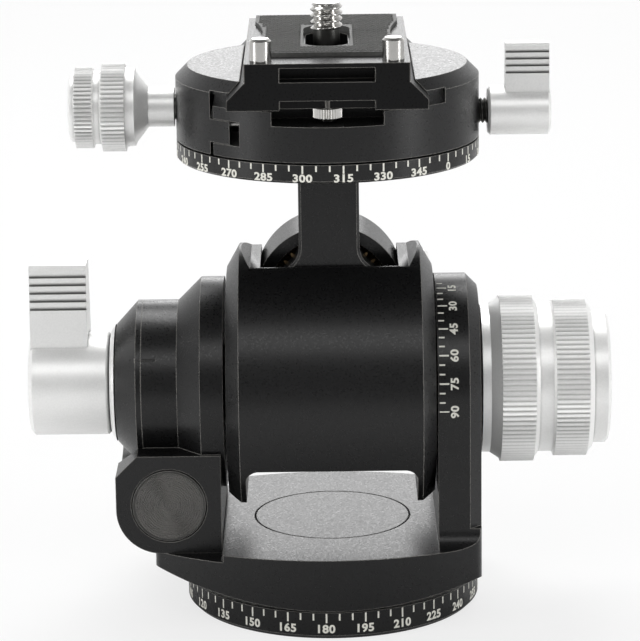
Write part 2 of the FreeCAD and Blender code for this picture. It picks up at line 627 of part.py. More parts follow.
def stem():
    foot_z = ROLL_Z
    plate = box(-STEM_HALF, STEM_HALF, STEM_FRONT, STEM_BACK, foot_z, SCALE_BOTTOM)
    hub = cyl(Y_AXIS, STEM_HUB_R, STEM_FRONT, STEM_BACK, (0, foot_z))
    body = plate.fuse(hub)
    join = math.sqrt(STEM_HUB_R ** 2 - STEM_HALF ** 2)
    run = math.sqrt((STEM_HUB_R + STEM_FILLET) ** 2 - (STEM_HALF + STEM_FILLET) ** 2)
    for side in (-1, 1):
        cx = side * (STEM_HALF + STEM_FILLET)
        touch_x = cx * STEM_HUB_R / (STEM_HUB_R + STEM_FILLET)
        touch_z = run * STEM_HUB_R / (STEM_HUB_R + STEM_FILLET)
        wedge = prism_y([(side * (STEM_HALF - 1), foot_z + join - 2), (touch_x, foot_z + touch_z),
                         (cx, foot_z + run), (side * (STEM_HALF - 1), foot_z + run)], STEM_FRONT, STEM_BACK)
        wedge = wedge.cut(cyl(Y_AXIS, STEM_FILLET, STEM_FRONT - 1, STEM_BACK + 1, (cx, foot_z + run)))
        body = body.fuse(wedge)
    gusset_low = ROLL_Z + ROLL_HOUSING_R + BODY_GAP
    gusset = prism_x([(STEM_BACK, gusset_low), (STEM_TOP_BACK, SCALE_BOTTOM - STEM_GUSSET_H),
                      (STEM_TOP_BACK, SCALE_BOTTOM), (STEM_BACK, SCALE_BOTTOM)], -STEM_HALF, STEM_HALF)
    body = body.fuse(gusset).removeSplitter()
    front = [e for e in body.Edges if abs(e.BoundBox.YMax - STEM_FRONT) < 0.01
             and e.BoundBox.ZMax > foot_z + join and e.BoundBox.ZLength > 1]
    body = body.makeChamfer(STEM_CHAMFER, front)
    for x, y in STEM_SCREWS:
        body = body.cut(cyl(Z_AXIS, 1.55, SCALE_BOTTOM - 6.5, SCALE_BOTTOM, (x, y)))
    return body.cut(cyl(Y_AXIS, AXLE_R, -30, 30, (0, ROLL_Z)))


def roll_wheel():
    body = gear_wheel(Y_AXIS, ROLL_TEETH, ROLL_PITCH_R, ROLL_WHEEL_HALF, (0, 0, ROLL_Z), 0.5)
    return body.cut(cyl(Y_AXIS, AXLE_R, -30, 30, (0, ROLL_Z)))


def roll_axle():
    return cyl(Y_AXIS, AXLE_R, AXLE_FRONT, AXLE_BACK, (0, ROLL_Z))


def roll_worm():
    shape = worm(ROLL_LEAD, ROLL_WORM_PITCH_R, WORM_HALF)
    shape = place(shape, (0, 0, TILT_Z), X_AXIS, Z_AXIS)
    left = cyl(X_AXIS, AXLE_R, -WORM_POCKET - 5.5, -WORM_HALF + 0.1, (0, TILT_Z))
    right = cyl(X_AXIS, AXLE_R, WORM_HALF - 0.1, KNOB_BAND2_END - 3, (0, TILT_Z))
    return shape.fuse(left).fuse(right)


def roll_worm_bushes():
    solids = []
    for x0, x1 in ((WORM_HALF + 1.0, WORM_HALF + 7.0), (PLATE_RIGHT - 6.0, PLATE_RIGHT)):
        outer = cyl(X_AXIS, ROLL_WORM_BORE_R, x0, x1, (0, TILT_Z))
        solids.append(outer.cut(cyl(X_AXIS, AXLE_R + RUN_GAP, x0, x1, (0, TILT_Z))))
    return Part.makeCompound(solids)


def right_bush():
    outer = cyl(X_AXIS, TRUNNION_R + BUSH_WALL, ARM_INNER, PLATE_RIGHT, (0, TILT_Z))
    return outer.cut(cyl(X_AXIS, TRUNNION_R + RUN_GAP, ARM_INNER, PLATE_RIGHT, (0, TILT_Z)))


def left_bush():
    x0 = WORM_PLANE_X + TILT_WHEEL_HALF + 0.3
    outer = cyl(X_AXIS, LEFT_SHAFT_R + BUSH_WALL, x0, HOUSING_INNER, (0, TILT_Z))
    return outer.cut(cyl(X_AXIS, LEFT_SHAFT_R + RUN_GAP, x0, HOUSING_INNER, (0, TILT_Z)))


def knob_body():
    centre = (0, 0, TILT_Z)
    floor1 = KNOB_BAND1_R - KNURL_DEPTH
    floor2 = KNOB_BAND2_R - KNURL_DEPTH
    body = turned(X_AXIS, [
        (KNOB_START, 0), (KNOB_START, KNOB_COLLAR_R), (KNOB_BEVEL_X, KNOB_COLLAR_R),
        (KNOB_BAND1_X, floor1), (KNOB_VALLEY_X1 - 0.9, floor1), (KNOB_VALLEY_X1, KNOB_VALLEY_R),
        (KNOB_VALLEY_X2, KNOB_VALLEY_R), (KNOB_VALLEY_X2 + 0.5, floor2), (KNOB_BAND2_END - 1.0, floor2),
        (KNOB_BAND2_END, floor2 - 1.0), (KNOB_BAND2_END, 0)], centre)
    first = toothed_ring(X_AXIS, KNOB_BAND1_R, KNURL_DEPTH, KNOB_TEETH, KNOB_BAND1_X,
                         KNOB_VALLEY_X1 - 0.9, centre)
    second = toothed_ring(X_AXIS, KNOB_BAND2_R, KNURL_DEPTH, KNOB_TEETH, KNOB_VALLEY_X2 + 0.5,
                          KNOB_BAND2_END - 1.0, centre)
    body = body.fuse(first).fuse(second)
    body = body.cut(cyl(X_AXIS, AXLE_R, KNOB_START - 1, KNOB_BAND2_END - 3, (0, TILT_Z)))
    return body


def knob_cap():
    edge = 0.6
    return turned(X_AXIS, [(KNOB_BAND2_END, 0), (KNOB_BAND2_END, KNOB_CAP_R), (KNOB_END - edge, KNOB_CAP_R),
                           (KNOB_END, KNOB_CAP_R - edge), (KNOB_END, KNOB_CAP_R - 1.6),
                           (KNOB_END - 0.4, KNOB_CAP_R - 2.0), (KNOB_END - 0.4, 0)], (0, 0, TILT_Z))


def tilt_lever():
    lever = wing_lever(LEVER_HUB_R, LEVER_HUB_L, LEVER_WING_R, LEVER_WING_L, LEVER_RIDGES)
    lever = place(lever, (HOUSING_END - FACE_GAP - LEVER_COLLAR_T, 0, TILT_Z), V(-1, 0, 0), Z_AXIS)
    return lever.cut(cyl(X_AXIS, STUD_R, -52, HOUSING_END, (0, TILT_Z)))


def tilt_lever_collar():
    x1 = HOUSING_END - FACE_GAP
    body = turned(X_AXIS, [(x1, 0), (x1, LEVER_HUB_R + 1.4), (x1 - LEVER_COLLAR_T, LEVER_HUB_R),
                           (x1 - LEVER_COLLAR_T, 0)], (0, 0, TILT_Z))
    return body.cut(cyl(X_AXIS, STUD_R, -60, 0, (0, TILT_Z)))


def tilt_lever_stud():
    return cyl(X_AXIS, STUD_R, -52, TRUNNION_LEFT_END - 0.85, (0, TILT_Z))


def roll_lever():
    lever = wing_lever(ROLL_LEVER_HUB_R, ROLL_LEVER_HUB_L, ROLL_LEVER_WING_R, 9.6, LEVER_RIDGES)
    lever = place(lever, (0, ROLL_LEVER_Y, ROLL_Z), Y_AXIS, X_AXIS)
    return lever.cut(cyl(Y_AXIS, STUD_R, 0, ROLL_LEVER_Y + 8, (0, ROLL_Z)))


def roll_lever_stud():
    return cyl(Y_AXIS, STUD_R, AXLE_BACK + 1.0, ROLL_LEVER_Y + 8, (0, ROLL_Z))


def base_pan_lever():
    lever = wing_lever(SMALL_HUB_R, SMALL_HUB_L, SMALL_WING_R, SMALL_WING_L, SMALL_RIDGES)
    lever = place(lever, (0, PAN_LEVER_Y, PAN_STUD_Z), Y_AXIS, X_AXIS)
    return lever.cut(cyl(Y_AXIS, PAN_STUD_R, 0, PAN_LEVER_Y + 7, (0, PAN_STUD_Z)))


def base_pan_stud():
    return cyl(Y_AXIS, PAN_STUD_R, POST_R + 0.1, PAN_LEVER_Y + 7, (0, PAN_STUD_Z))


def scale_ring():
    body = turned(Z_AXIS, [(SCALE_BOTTOM, 0), (SCALE_BOTTOM, SCALE_R - 0.4), (SCALE_BOTTOM + 0.4, SCALE_R),
                           (SCALE_TOP, SCALE_R), (SCALE_TOP, CLAMP_POST_R), (CLAMP_POST_TOP, CLAMP_POST_R),
                           (CLAMP_POST_TOP, 0)], (0, 0, 0))
    body = body.cut(cyl(Z_AXIS, 2.0, CLAMP_POST_TOP - 7, CLAMP_POST_TOP))
    for x, y in STEM_SCREWS:
        body = body.cut(cyl(Z_AXIS, 1.55, SCALE_BOTTOM, CLAMP_POST_TOP, (x, y)))
        body = body.cut(cyl(Z_AXIS, 2.8, CLAMP_POST_TOP - 2.6, CLAMP_POST_TOP, (x, y)))
    return body


def stem_screws():
    solids = []
    for x, y in STEM_SCREWS:
        end = SCALE_BOTTOM - 6.0
        shank = cyl(Z_AXIS, 1.5, end, CLAMP_POST_TOP - 2.6, (x, y))
        head = cyl(Z_AXIS, 2.7, CLAMP_POST_TOP - 2.6, CLAMP_POST_TOP - 0.1, (x, y))
        solids.append(shank.fuse(head).cut(cyl(Z_AXIS, 1.2, CLAMP_POST_TOP - 1.6, CLAMP_POST_TOP, (x, y))))
    return Part.makeCompound(solids)


def pan_retaining_screw():
    seat = CLAMP_POST_TOP + 1.4
    shank = cyl(Z_AXIS, 1.95, CLAMP_POST_TOP - 6, seat)
    head = cyl(Z_AXIS, RETAIN_HEAD_R, seat, CHANNEL_FLOOR - 0.2)
    return shank.fuse(head).cut(cyl(Z_AXIS, 1.5, CHANNEL_FLOOR - 1.2, CHANNEL_FLOOR))


def clamp_disc():
    return turned(Z_AXIS, [(CLAMP_BOTTOM, 0), (CLAMP_BOTTOM, SCALE_R), (CLAMP_TOP - CLAMP_EDGE, SCALE_R),
                           (CLAMP_TOP, SCALE_R - CLAMP_EDGE), (CLAMP_TOP, 0)], (0, 0, 0))


def channel():
    """The dovetail channel with its deep undercut, cut along Y."""
    slope = CLAMP_TOP - LIP_UNDER
    return prism_y([(-CHANNEL_HALF, CHANNEL_FLOOR), (CHANNEL_HALF, CHANNEL_FLOOR), (CHANNEL_HALF, LIP_UNDER),
                    (LIP_HALF + slope, LIP_UNDER), (LIP_HALF, CLAMP_TOP), (LIP_HALF, CLAMP_TOP + 1),
                    (-LIP_HALF, CLAMP_TOP + 1), (-LIP_HALF, CLAMP_TOP), (-LIP_HALF - slope, LIP_UNDER),
                    (-CHANNEL_HALF, LIP_UNDER)], -40, 40)


def clamp_body():
    body = clamp_disc().cut(channel())
    body = body.cut(box(-40, JAW_FACE + JAW_GAP, -40, 40, CLAMP_BOTTOM, CHANNEL_FLOOR))
    body = body.cut(box(-40, 0, -40, 40, CHANNEL_FLOOR, CLAMP_TOP + 1))
    tongue = box(-40, TONGUE_TIP + TONGUE_TRAVEL, -40, 40, TONGUE_LOW - 0.1, TONGUE_HIGH + 0.1)
    body = body.cut(tongue)
    body = body.cut(box(-POCKET_HALF, POCKET_HALF, -40, POCKET_BACK, POCKET_FLOOR, CHANNEL_FLOOR + 1))
    body = body.cut(cyl(Z_AXIS, CLAMP_POST_R + RUN_GAP, CLAMP_BOTTOM - 1, CLAMP_POST_TOP + FACE_GAP))
    body = body.cut(cyl(Z_AXIS, 2.1, CLAMP_POST_TOP, CHANNEL_FLOOR))
    body = body.cut(cyl(Z_AXIS, RETAIN_HEAD_R + 0.3, CLAMP_POST_TOP + 1.35, CHANNEL_FLOOR))
    body = body.cut(cyl(X_AXIS, STUD_R + RUN_GAP, 10, 40, (0, PAN_LEVER_Z)))
    body = body.cut(cyl(X_AXIS, CLAMP_SCREW_R + RUN_GAP, -40, -CLAMP_POST_R - 0.6, (0, CLAMP_SCREW_Z)))
    for y in GUIDE_Y:
        body = body.cut(cyl(X_AXIS, GUIDE_R + RUN_GAP, -40, -CLAMP_POST_R - 0.8, (y, GUIDE_Z)))
    return body


def clamp_jaw():
    body = clamp_disc().cut(channel())
    body = body.common(box(-40, -LIP_HALF, -40, 40, CLAMP_BOTTOM, CLAMP_TOP + 1))
    under = box(JAW_FACE, 0, -40, 40, CLAMP_BOTTOM, CHANNEL_FLOOR + 0.5)
    tongue = box(JAW_FACE, TONGUE_TIP, -40, 40, TONGUE_LOW, TONGUE_HIGH)
    body = body.cut(under.cut(tongue))
    body = body.common(clamp_disc())
    body = body.cut(cyl(X_AXIS, CLAMP_SCREW_R + 0.2, -40, 0, (0, CLAMP_SCREW_Z)))
    for y in GUIDE_Y:
        body = body.cut(cyl(X_AXIS, GUIDE_R, GUIDE_LEFT, 0, (y, GUIDE_Z)))
    return body


def jaw_guide_pins():
    solids = []
    for y in GUIDE_Y:
        solids.append(cyl(X_AXIS, GUIDE_R, GUIDE_LEFT, -14.8, (y, GUIDE_Z)))
    return Part.makeCompound(solids)


def clamp_knob():
    centre = (0, 0, CLAMP_SCREW_Z)
    start = -SCALE_R - 0.3
    body = turned(X_AXIS, [(start, 0), (start, 3.9), (-35.4, 3.9), (-37.8, 7.0), (-38.0, 7.7), (-39.2, 7.7),
                           (-39.9, 8.0), (-44.5, 8.3), (-44.9, 7.2), (-46.0, 7.2), (-46.3, 7.5), (-49.8, 7.5),
                           (-50.0, 6.8), (CLAMP_KNOB_END + 0.4, 6.7), (CLAMP_KNOB_END, 6.3),
                           (CLAMP_KNOB_END, 0)], centre)
    wide = toothed_ring(X_AXIS, 8.7, KNURL_DEPTH, CLAMP_KNOB_TEETH, -44.5, -39.9, centre)
    narrow = toothed_ring(X_AXIS, 8.0, KNURL_DEPTH, CLAMP_KNOB_TEETH, -49.8, -46.3, centre)
    body = body.fuse(wide).fuse(narrow)
    return body.cut(cyl(X_AXIS, CLAMP_SCREW_R, -44, 0, (0, CLAMP_SCREW_Z)))


def clamp_screw():
    return cyl(X_AXIS, CLAMP_SCREW_R, -44, -CLAMP_POST_R - 1.6, (0, CLAMP_SCREW_Z))


def top_pan_lever():
    lever = wing_lever(SMALL_HUB_R, SMALL_HUB_L, SMALL_WING_R, SMALL_WING_L, SMALL_RIDGES)
    lever = place(lever, (TOP_LEVER_X, 0, PAN_LEVER_Z), X_AXIS, Z_AXIS)
    return lever.cut(cyl(X_AXIS, STUD_R, 0, TOP_LEVER_X + 8, (0, PAN_LEVER_Z)))


def top_pan_stud():
    return cyl(X_AXIS, STUD_R, CLAMP_POST_R + 0.15, TOP_LEVER_X + 8, (0, PAN_LEVER_Z))


def qr_plate():
    foot = QR_FOOT_HALF
    neck = QR_NECK_HALF
    body = prism_y([(-foot, QR_BOTTOM), (foot, QR_BOTTOM), (foot, QR_EDGE_Z), (neck, QR_NECK_Z), (neck, QR_TOP),
                    (-neck, QR_TOP), (-neck, QR_NECK_Z), (-foot, QR_EDGE_Z)], -QR_HALF_L, QR_HALF_L)
    recess_half = 9.1
    bar_low = 107.4
    bar_high = 111.0
    body = body.cut(box(-recess_half, recess_half, -QR_HALF_L, -QR_HALF_L + 4.0, bar_high, QR_TOP - 0.9))
    body = body.cut(box(-recess_half, recess_half, -QR_HALF_L, -QR_HALF_L + 2.0, 0, bar_low))
    for side in (-1, 1):
        body = body.cut(box(side * 20 - 4.3, side * 20 + 4.3, -QR_HALF_L, -QR_HALF_L + 1.0, QR_NECK_Z, 120))
        body = body.cut(cyl(Z_AXIS, PIN_SPIGOT_R, QR_TOP - PIN_SPIGOT, QR_TOP, (side * PIN_X, PIN_Y)))
    body = body.cut(slot_shape(4.2, 8.0, QR_BOTTOM, QR_TOP))
    body = body.cut(slot_shape(7.2, 8.5, QR_BOTTOM, QR_BOTTOM + 3.2))
    body = body.cut(pad_blank(0.0))
    return body.cut(cyl(Z_AXIS, 1.5, QR_BOTTOM, QR_BOTTOM + 4, (0, STOP_Y)))


def slot_shape(half_width, half_run, z0, z1):
    """A slot along Y with round ends."""
    body = box(-half_width, half_width, -half_run, half_run, z0, z1)
    for side in (-1, 1):
        body = body.fuse(cyl(Z_AXIS, half_width, z0, z1, (0, side * half_run)))
    return body.removeSplitter()


def pad_blank(gap):
    """The rubber pad's plan with drawn-in sides."""
    body = box(-PAD_HALF + gap, PAD_HALF - gap, PAD_FRONT + gap, PAD_BACK - gap, QR_TOP - PAD_SINK,
               QR_TOP - PAD_SINK + PAD_T + 0.5)
    mid = 0.5 * (PAD_FRONT + PAD_BACK)
    for side in (-1, 1):
        x = side * (PAD_HALF - PAD_WAIST + PAD_WAIST_R)
        body = body.cut(cyl(Z_AXIS, PAD_WAIST_R + gap, QR_TOP - 2, QR_TOP + 3, (x, mid)))
    return body


def rubber_pad():
    body = pad_blank(RUN_GAP)
    return body.cut(slot_shape(4.6, 8.4, QR_TOP - 2, QR_TOP + 3))


def anti_twist_pins():
    solids = []
    for side in (-1, 1):
        pin = turned(Z_AXIS, [(QR_TOP - PIN_SPIGOT, 0), (QR_TOP - PIN_SPIGOT, PIN_SPIGOT_R),
                              (QR_TOP, PIN_SPIGOT_R), (QR_TOP, PIN_R), (QR_TOP + PIN_H - 0.5, PIN_R),
                              (QR_TOP + PIN_H, PIN_R - 0.5), (QR_TOP + PIN_H, 0)],
                     (side * PIN_X, PIN_Y, 0))
        solids.append(pin)
    return Part.makeCompound(solids)


def camera_screw():
    shank = turned(Z_AXIS, [(QR_BOTTOM + 3.0, 0), (QR_BOTTOM + 3.0, CAMERA_NECK_R),
                            (QR_TOP, CAMERA_NECK_R), (QR_TOP, CAMERA_SCREW_R),
                            (CAMERA_SCREW_TOP - 0.7, CAMERA_SCREW_R),
                            (CAMERA_SCREW_TOP, CAMERA_SCREW_R - 0.7), (CAMERA_SCREW_TOP, 0)], (0, 0, 0))
    head = cyl(Z_AXIS, 6.4, QR_BOTTOM + 0.4, QR_BOTTOM + 3.0)
    slot = box(-7, 7, -0.7, 0.7, QR_BOTTOM, QR_BOTTOM + 1.4)
    return shank.fuse(head).cut(slot)


def stop_screw():
    centre = (0, STOP_Y, 0)
    head_top = QR_BOTTOM - 0.05
    head_low = POCKET_FLOOR + 0.45
    body = turned(Z_AXIS, [(head_low, 0), (head_low, 1.9), (head_low + 0.7, 2.5), (head_top, 2.5),
                           (head_top, 0)], centre)
    band = toothed_ring(Z_AXIS, 2.8, 0.25, 30, head_low + 0.7, head_top, centre)
    shank = cyl(Z_AXIS, 1.45, head_top, QR_BOTTOM + 3.8, (0, STOP_Y))
    return body.fuse(band).fuse(shank)


NODES = {
    "base_ring": base_ring,
    "pan_retainer": pan_retainer,
    "pan_retainer_screws": pan_retainer_screws,
    "frame_plate_and_arm": frame,
    "pan_cap": pan_cap,
    "gear_housing": housing,
    "gear_housing_screws": housing_screws,
    "gear_housing_cover": housing_cover,
    "cover_screws": housing_cover_screws,
    "tilt_brake_pad": tilt_brake_pad,
    "worm_bore_cap": worm_cap,
    "tilt_worm": tilt_worm,
    "tilt_worm_bushes": tilt_worm_bushes,
    "tilt_knob": tilt_knob,
    "tilt_worm_wheel": tilt_wheel,
    "left_trunnion_bush": left_bush,
    "right_trunnion_bush": right_bush,
    "cradle_drum": drum,
    "roll_housing": roll_housing,
    "roll_brake_pad": roll_brake_pad,
    "roll_worm": roll_worm,
    "roll_worm_bushes": roll_worm_bushes,
    "roll_knob": knob_body,
    "roll_knob_cap": knob_cap,
    "roll_worm_wheel": roll_wheel,
    "roll_axle": roll_axle,
    "stem": stem,
    "stem_screws": stem_screws,
    "top_scale_ring": scale_ring,
    "pan_retaining_screw": pan_retaining_screw,
    "tilt_lock_lever": tilt_lever,
    "tilt_lock_collar": tilt_lever_collar,
    "tilt_lock_stud": tilt_lever_stud,
    "roll_lock_lever": roll_lever,
    "roll_lock_stud": roll_lever_stud,
    "base_pan_lever": base_pan_lever,
    "base_pan_stud": base_pan_stud,
    "clamp_body": clamp_body,
    "clamp_jaw": clamp_jaw,
    "jaw_guide_pins": jaw_guide_pins,
    "clamp_screw": clamp_screw,
    "clamp_knob": clamp_knob,
    "top_pan_lever": top_pan_lever,
    "top_pan_stud": top_pan_stud,
    "release_plate": qr_plate,
    "rubber_pad": rubber_pad,
    "anti_twist_pins": anti_twist_pins,
    "camera_screw": camera_screw,
    "stop_screw": stop_screw,
}

for name, make in NODES.items():
    shape = make()
    print(name, len(shape.Solids), shape.isValid(), round(shape.Volume, 1))
    shape.exportStep("parts/" + name + ".step")
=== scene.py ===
import json
import math

import bmesh
import bpy
from bpy.props import FloatProperty, FloatVectorProperty, IntProperty, PointerProperty
from mathutils import Matrix, Vector


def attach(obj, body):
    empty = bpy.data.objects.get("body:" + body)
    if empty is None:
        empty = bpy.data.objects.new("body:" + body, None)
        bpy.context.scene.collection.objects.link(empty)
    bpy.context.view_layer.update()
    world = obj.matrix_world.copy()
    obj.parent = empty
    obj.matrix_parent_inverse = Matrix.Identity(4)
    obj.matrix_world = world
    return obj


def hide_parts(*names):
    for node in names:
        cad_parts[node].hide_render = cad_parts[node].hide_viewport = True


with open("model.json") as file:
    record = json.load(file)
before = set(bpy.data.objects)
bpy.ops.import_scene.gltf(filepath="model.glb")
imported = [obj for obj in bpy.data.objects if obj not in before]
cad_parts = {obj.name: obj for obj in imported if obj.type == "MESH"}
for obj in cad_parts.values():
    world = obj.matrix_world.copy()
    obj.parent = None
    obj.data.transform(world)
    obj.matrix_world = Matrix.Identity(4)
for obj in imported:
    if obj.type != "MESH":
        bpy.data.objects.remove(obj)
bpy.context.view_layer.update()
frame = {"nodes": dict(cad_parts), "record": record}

bl_info = {
    "name": "Geared tripod head finishes",
    "version": (1, 0, 0),
    "blender": (4, 5, 0),
    "location": "View3D > Sidebar > Tripod Head",
    "description": "Degree scales, threads, the woven pad and the metal finishes of a geared tripod head",
    "category": "Object",
}

MM = 0.001

# Places of the head, in metres, in the CAD frame
TILT_AXIS_Z = 45.0 * MM
BASE_RING_R = 29.7 * MM
TOP_RING_R = 30.0 * MM
ARM_R = 21.4 * MM
ARM_EDGE_X = 21.0 * MM
PAD_TOP = 115.4 * MM
PAD_HALF = 14.4 * MM
PAD_FRONT = -20.5 * MM
PAD_BACK = 27.0 * MM
PAD_WAIST = 1.7 * MM
PAD_WAIST_R = 70.0 * MM
SLOT_HALF = 4.6 * MM
SLOT_RUN = 13.0 * MM
WEAVE_MARGIN = 0.75 * MM
SCREW_HEAD_LOW = 106.0 * MM
SCREW_HEAD_HIGH = 108.6 * MM
SCREW_TOP = 122.0 * MM
THREAD_START = 116.9 * MM
STUD_START = 12.15 * MM
STUD_END = 39.7 * MM
STUD_Z = 100.0 * MM

# The camera that took the photograph, found from the degree marks of both rings
CAMERA_PLACE = Vector((-0.000571, -0.615989, 0.213891))
CAMERA_YAW = -0.0023455
CAMERA_PITCH = 0.2488156
CAMERA_ROLL = 0.0131811
CAMERA_LENS = 177.21
CAMERA_SENSOR = 36.0

# The stage, in metres: where the lamps look, and each lamp's place and size
STAGE_MIDDLE = (0.0, 0.0, 0.07)
FLOOR_MIDDLE = (0.0, -0.45, 0.0)
FLOOR_HALF = 1.5
CARD_Y, CARD_HALF, CARD_HEIGHT = 1.4, 1.2, 0.9
TOP_LAMP = ((-0.1, 0.45, 0.9), STAGE_MIDDLE, 0.8, 0.5)
LEFT_STRIP = ((-0.70, -0.35, 0.20), STAGE_MIDDLE, 0.22, 0.6)
BACK_LAMP = ((0.0, 1.2, 0.40), STAGE_MIDDLE, 0.5, 0.35)
FLOOR_LAMP = ((0.0, -0.45, 0.5), FLOOR_MIDDLE, 0.5, 0.3)
RIGHT_STRIP = ((0.70, -0.35, 0.20), STAGE_MIDDLE, 0.22, 0.6)

# What the record says of each node
SLOT_OF_NODE = {row["node"]: row["material_slot"] for row in frame["record"]["subparts"]}
BODY_OF_NODE = {node: body for body, nodes in frame["record"]["behaviour"]["bodies"].items()
                for node in nodes}
REMADE_NODES = ("camera_screw", "top_pan_stud")
MATT_NODES = ("release_plate",)
MERGE_DISTANCE = 0.5e-6
SHARP_ANGLE = math.radians(28)
TURNED_ANGLE = math.radians(35)

# Where the degree scales stand: the angle of their zero, and heights in metres
BASE_ZERO = math.radians(-182.762)
BASE_MARKS_TOP = 5.35 * MM
BASE_NUMBERS_Z = 2.2 * MM
TOP_ZERO = math.radians(-309.455)
TOP_MARKS_TOP = 95.2 * MM
TOP_NUMBERS_Z = 92.75 * MM
ARM_ZERO = math.radians(2.8)
ARM_NUMBERS_X = 24.3 * MM
ARM_FLAT_FROM = -0.5 * math.pi
ARM_FIRST_MARK = 10
RING_MARKS = 72
ARM_MARKS = 17
BASE_LONG_MARK, BASE_SHORT_MARK = 1.9 * MM, 1.4 * MM
TOP_LONG_MARK, TOP_SHORT_MARK = 1.55 * MM, 1.15 * MM
ARM_LONG_MARK, ARM_SHORT_MARK = 1.9 * MM, 1.15 * MM
ARM_MARK_INSET = 0.3 * MM

# How the figures are drawn: in shares of their height, before they get their real size
FIGURE_WEIGHT = 0.034
FIGURE_SPACING = 1.06
CURVE_STEPS = 3

# The threads' roots and the screw's plain parts, in metres
CAMERA_THREAD_DEPTH = 0.6 * MM
STUD_THREAD_DEPTH = 0.4 * MM
SCREW_NECK_R = 2.65 * MM
SCREW_HEAD_R = 6.35 * MM
SCREW_HEAD_BREAK = 0.3 * MM
CAMERA_RUN_OUT = 0.75 * MM
STUD_RUN_OUT = 0.6 * MM
CAMERA_TURN_STEPS = 72
STUD_TURN_STEPS = 32
ROWS_PER_PITCH = 14
FLANK_SLOPE = 1.35
ROOT_SHARE = 0.1
RUN_OUT_SLOPE = 0.9


class ScaleSettings(bpy.types.PropertyGroup):
    """Sizes of the engraved and filled degree scales."""
    stroke_width: FloatProperty(name="Stroke width", description="Width of a degree mark",
                                default=0.33 * MM, unit="LENGTH")
    stroke_proud: FloatProperty(name="Paint height", description="How far the paint stands out",
                                default=0.03 * MM, unit="LENGTH")
    step_angle: FloatProperty(name="Step", description="Angle between two marks",
                              default=math.radians(5), subtype="ANGLE")
    number_step: IntProperty(name="Number step", description="Degrees between two numbers", default=15)
    top_number_height: FloatProperty(name="Top number height", description="Height of the top ring's figures",
                                     default=1.6 * MM, unit="LENGTH")
    base_number_height: FloatProperty(name="Base number height",
                                      description="Height of the base ring's figures",
                                      default=1.8 * MM, unit="LENGTH")
    arm_number_height: FloatProperty(name="Arm number height", description="Height of the arm's figures",
                                     default=1.65 * MM, unit="LENGTH")
    figure_width: FloatProperty(name="Figure width", description="Width of one figure with its space",
                                default=1.29 * MM, unit="LENGTH")
    paint_color: FloatVectorProperty(name="Paint", description="Colour of the scale paint",
                                     default=(0.80, 0.79, 0.72), subtype="COLOR", size=3)


class ThreadSettings(bpy.types.PropertyGroup):
    """Sizes of the two threads that show."""
    camera_pitch: FloatProperty(name="Camera screw pitch", description="Pitch of the 1/4 inch thread",
                                default=1.27 * MM, unit="LENGTH")
    camera_radius: FloatProperty(name="Camera screw radius", description="Outer radius of the thread",
                                 default=3.175 * MM, unit="LENGTH")
    stud_pitch: FloatProperty(name="Stud pitch", description="Pitch of the lever stud's thread",
                              default=0.8 * MM, unit="LENGTH")
    stud_radius: FloatProperty(name="Stud radius", description="Outer radius of the stud's thread",
                               default=2.5 * MM, unit="LENGTH")


class PadSettings(bpy.types.PropertyGroup):
    """Sizes of the pad's woven relief."""
    row_pitch: FloatProperty(name="Row pitch", description="Distance between two rows of weave",
                             default=0.64 * MM, unit="LENGTH")
    thread_pitch: FloatProperty(name="Thread pitch", description="Distance along a row",
                                default=0.78 * MM, unit="LENGTH")
    thread_length: FloatProperty(name="Thread length", description="Length of one raised thread",
                                 default=0.98 * MM, unit="LENGTH")
    thread_width: FloatProperty(name="Thread width", description="Width of one raised thread",
                                default=0.40 * MM, unit="LENGTH")
    thread_height: FloatProperty(name="Thread height", description="Height of one raised thread",
                                 default=0.22 * MM, unit="LENGTH")
    slant: FloatProperty(name="Slant", description="Angle of the threads in a row",
                         default=math.radians(33), subtype="ANGLE")


class FinishSettings(bpy.types.PropertyGroup):
    """Colours and roughness of the metals."""
    black_color: FloatVectorProperty(name="Black", description="Black anodising",
                                     default=(0.0050, 0.0050, 0.0052), subtype="COLOR", size=3)
    # Painted highlight: the light colour laid on machined edges, standing in for the lamps caught there
    black_edge_color: FloatVectorProperty(name="Edge", description="Where an edge is bright",
                                          default=(0.30, 0.29, 0.27), subtype="COLOR", size=3)
    silver_color: FloatVectorProperty(name="Silver", description="Clear anodising",
                                      default=(0.86, 0.86, 0.85), subtype="COLOR", size=3)
    brass_color: FloatVectorProperty(name="Brass", description="Worm wheels",
                                     default=(0.72, 0.50, 0.26), subtype="COLOR", size=3)
    edge_radius: FloatProperty(name="Edge radius", description="Rounding seen on machined edges",
                               default=0.22 * MM, unit="LENGTH")


class StageSettings(bpy.types.PropertyGroup):
    """Lamps and background."""
    key_power: FloatProperty(name="Key lamp", description="Power of the top lamp", default=7.5, unit="POWER")
    side_power: FloatProperty(name="Side lamps", description="Power of each side strip", default=2.6,
                              unit="POWER")
    back_power: FloatProperty(name="Back lamp", description="Power of the low lamp behind the head",
                              default=1.6, unit="POWER")
    floor_power: FloatProperty(name="Floor lamp", description="Power of the lamp on the floor in front",
                               default=1.2, unit="POWER")
    surround: FloatProperty(name="Surround", description="Strength of the room's soft light", default=0.9)


# Materials

def new_material(name):
    material = bpy.data.materials.new(name)
    material.use_nodes = True
    tree = material.node_tree
    tree.nodes.clear()
    shader = tree.nodes.new("ShaderNodeBsdfPrincipled")
    output = tree.nodes.new("ShaderNodeOutputMaterial")
    tree.links.new(shader.outputs[0], output.inputs[0])
    return material, tree, shader


def object_noise(tree, scale, detail=3.0):
    """Fine noise on the piece's own coordinates."""
    place = tree.nodes.new("ShaderNodeTexCoord")
    noise = tree.nodes.new("ShaderNodeTexNoise")
    noise.inputs["Scale"].default_value = scale
    noise.inputs["Detail"].default_value = detail
    tree.links.new(place.outputs["Object"], noise.inputs["Vector"])
    return noise.outputs["Fac"]


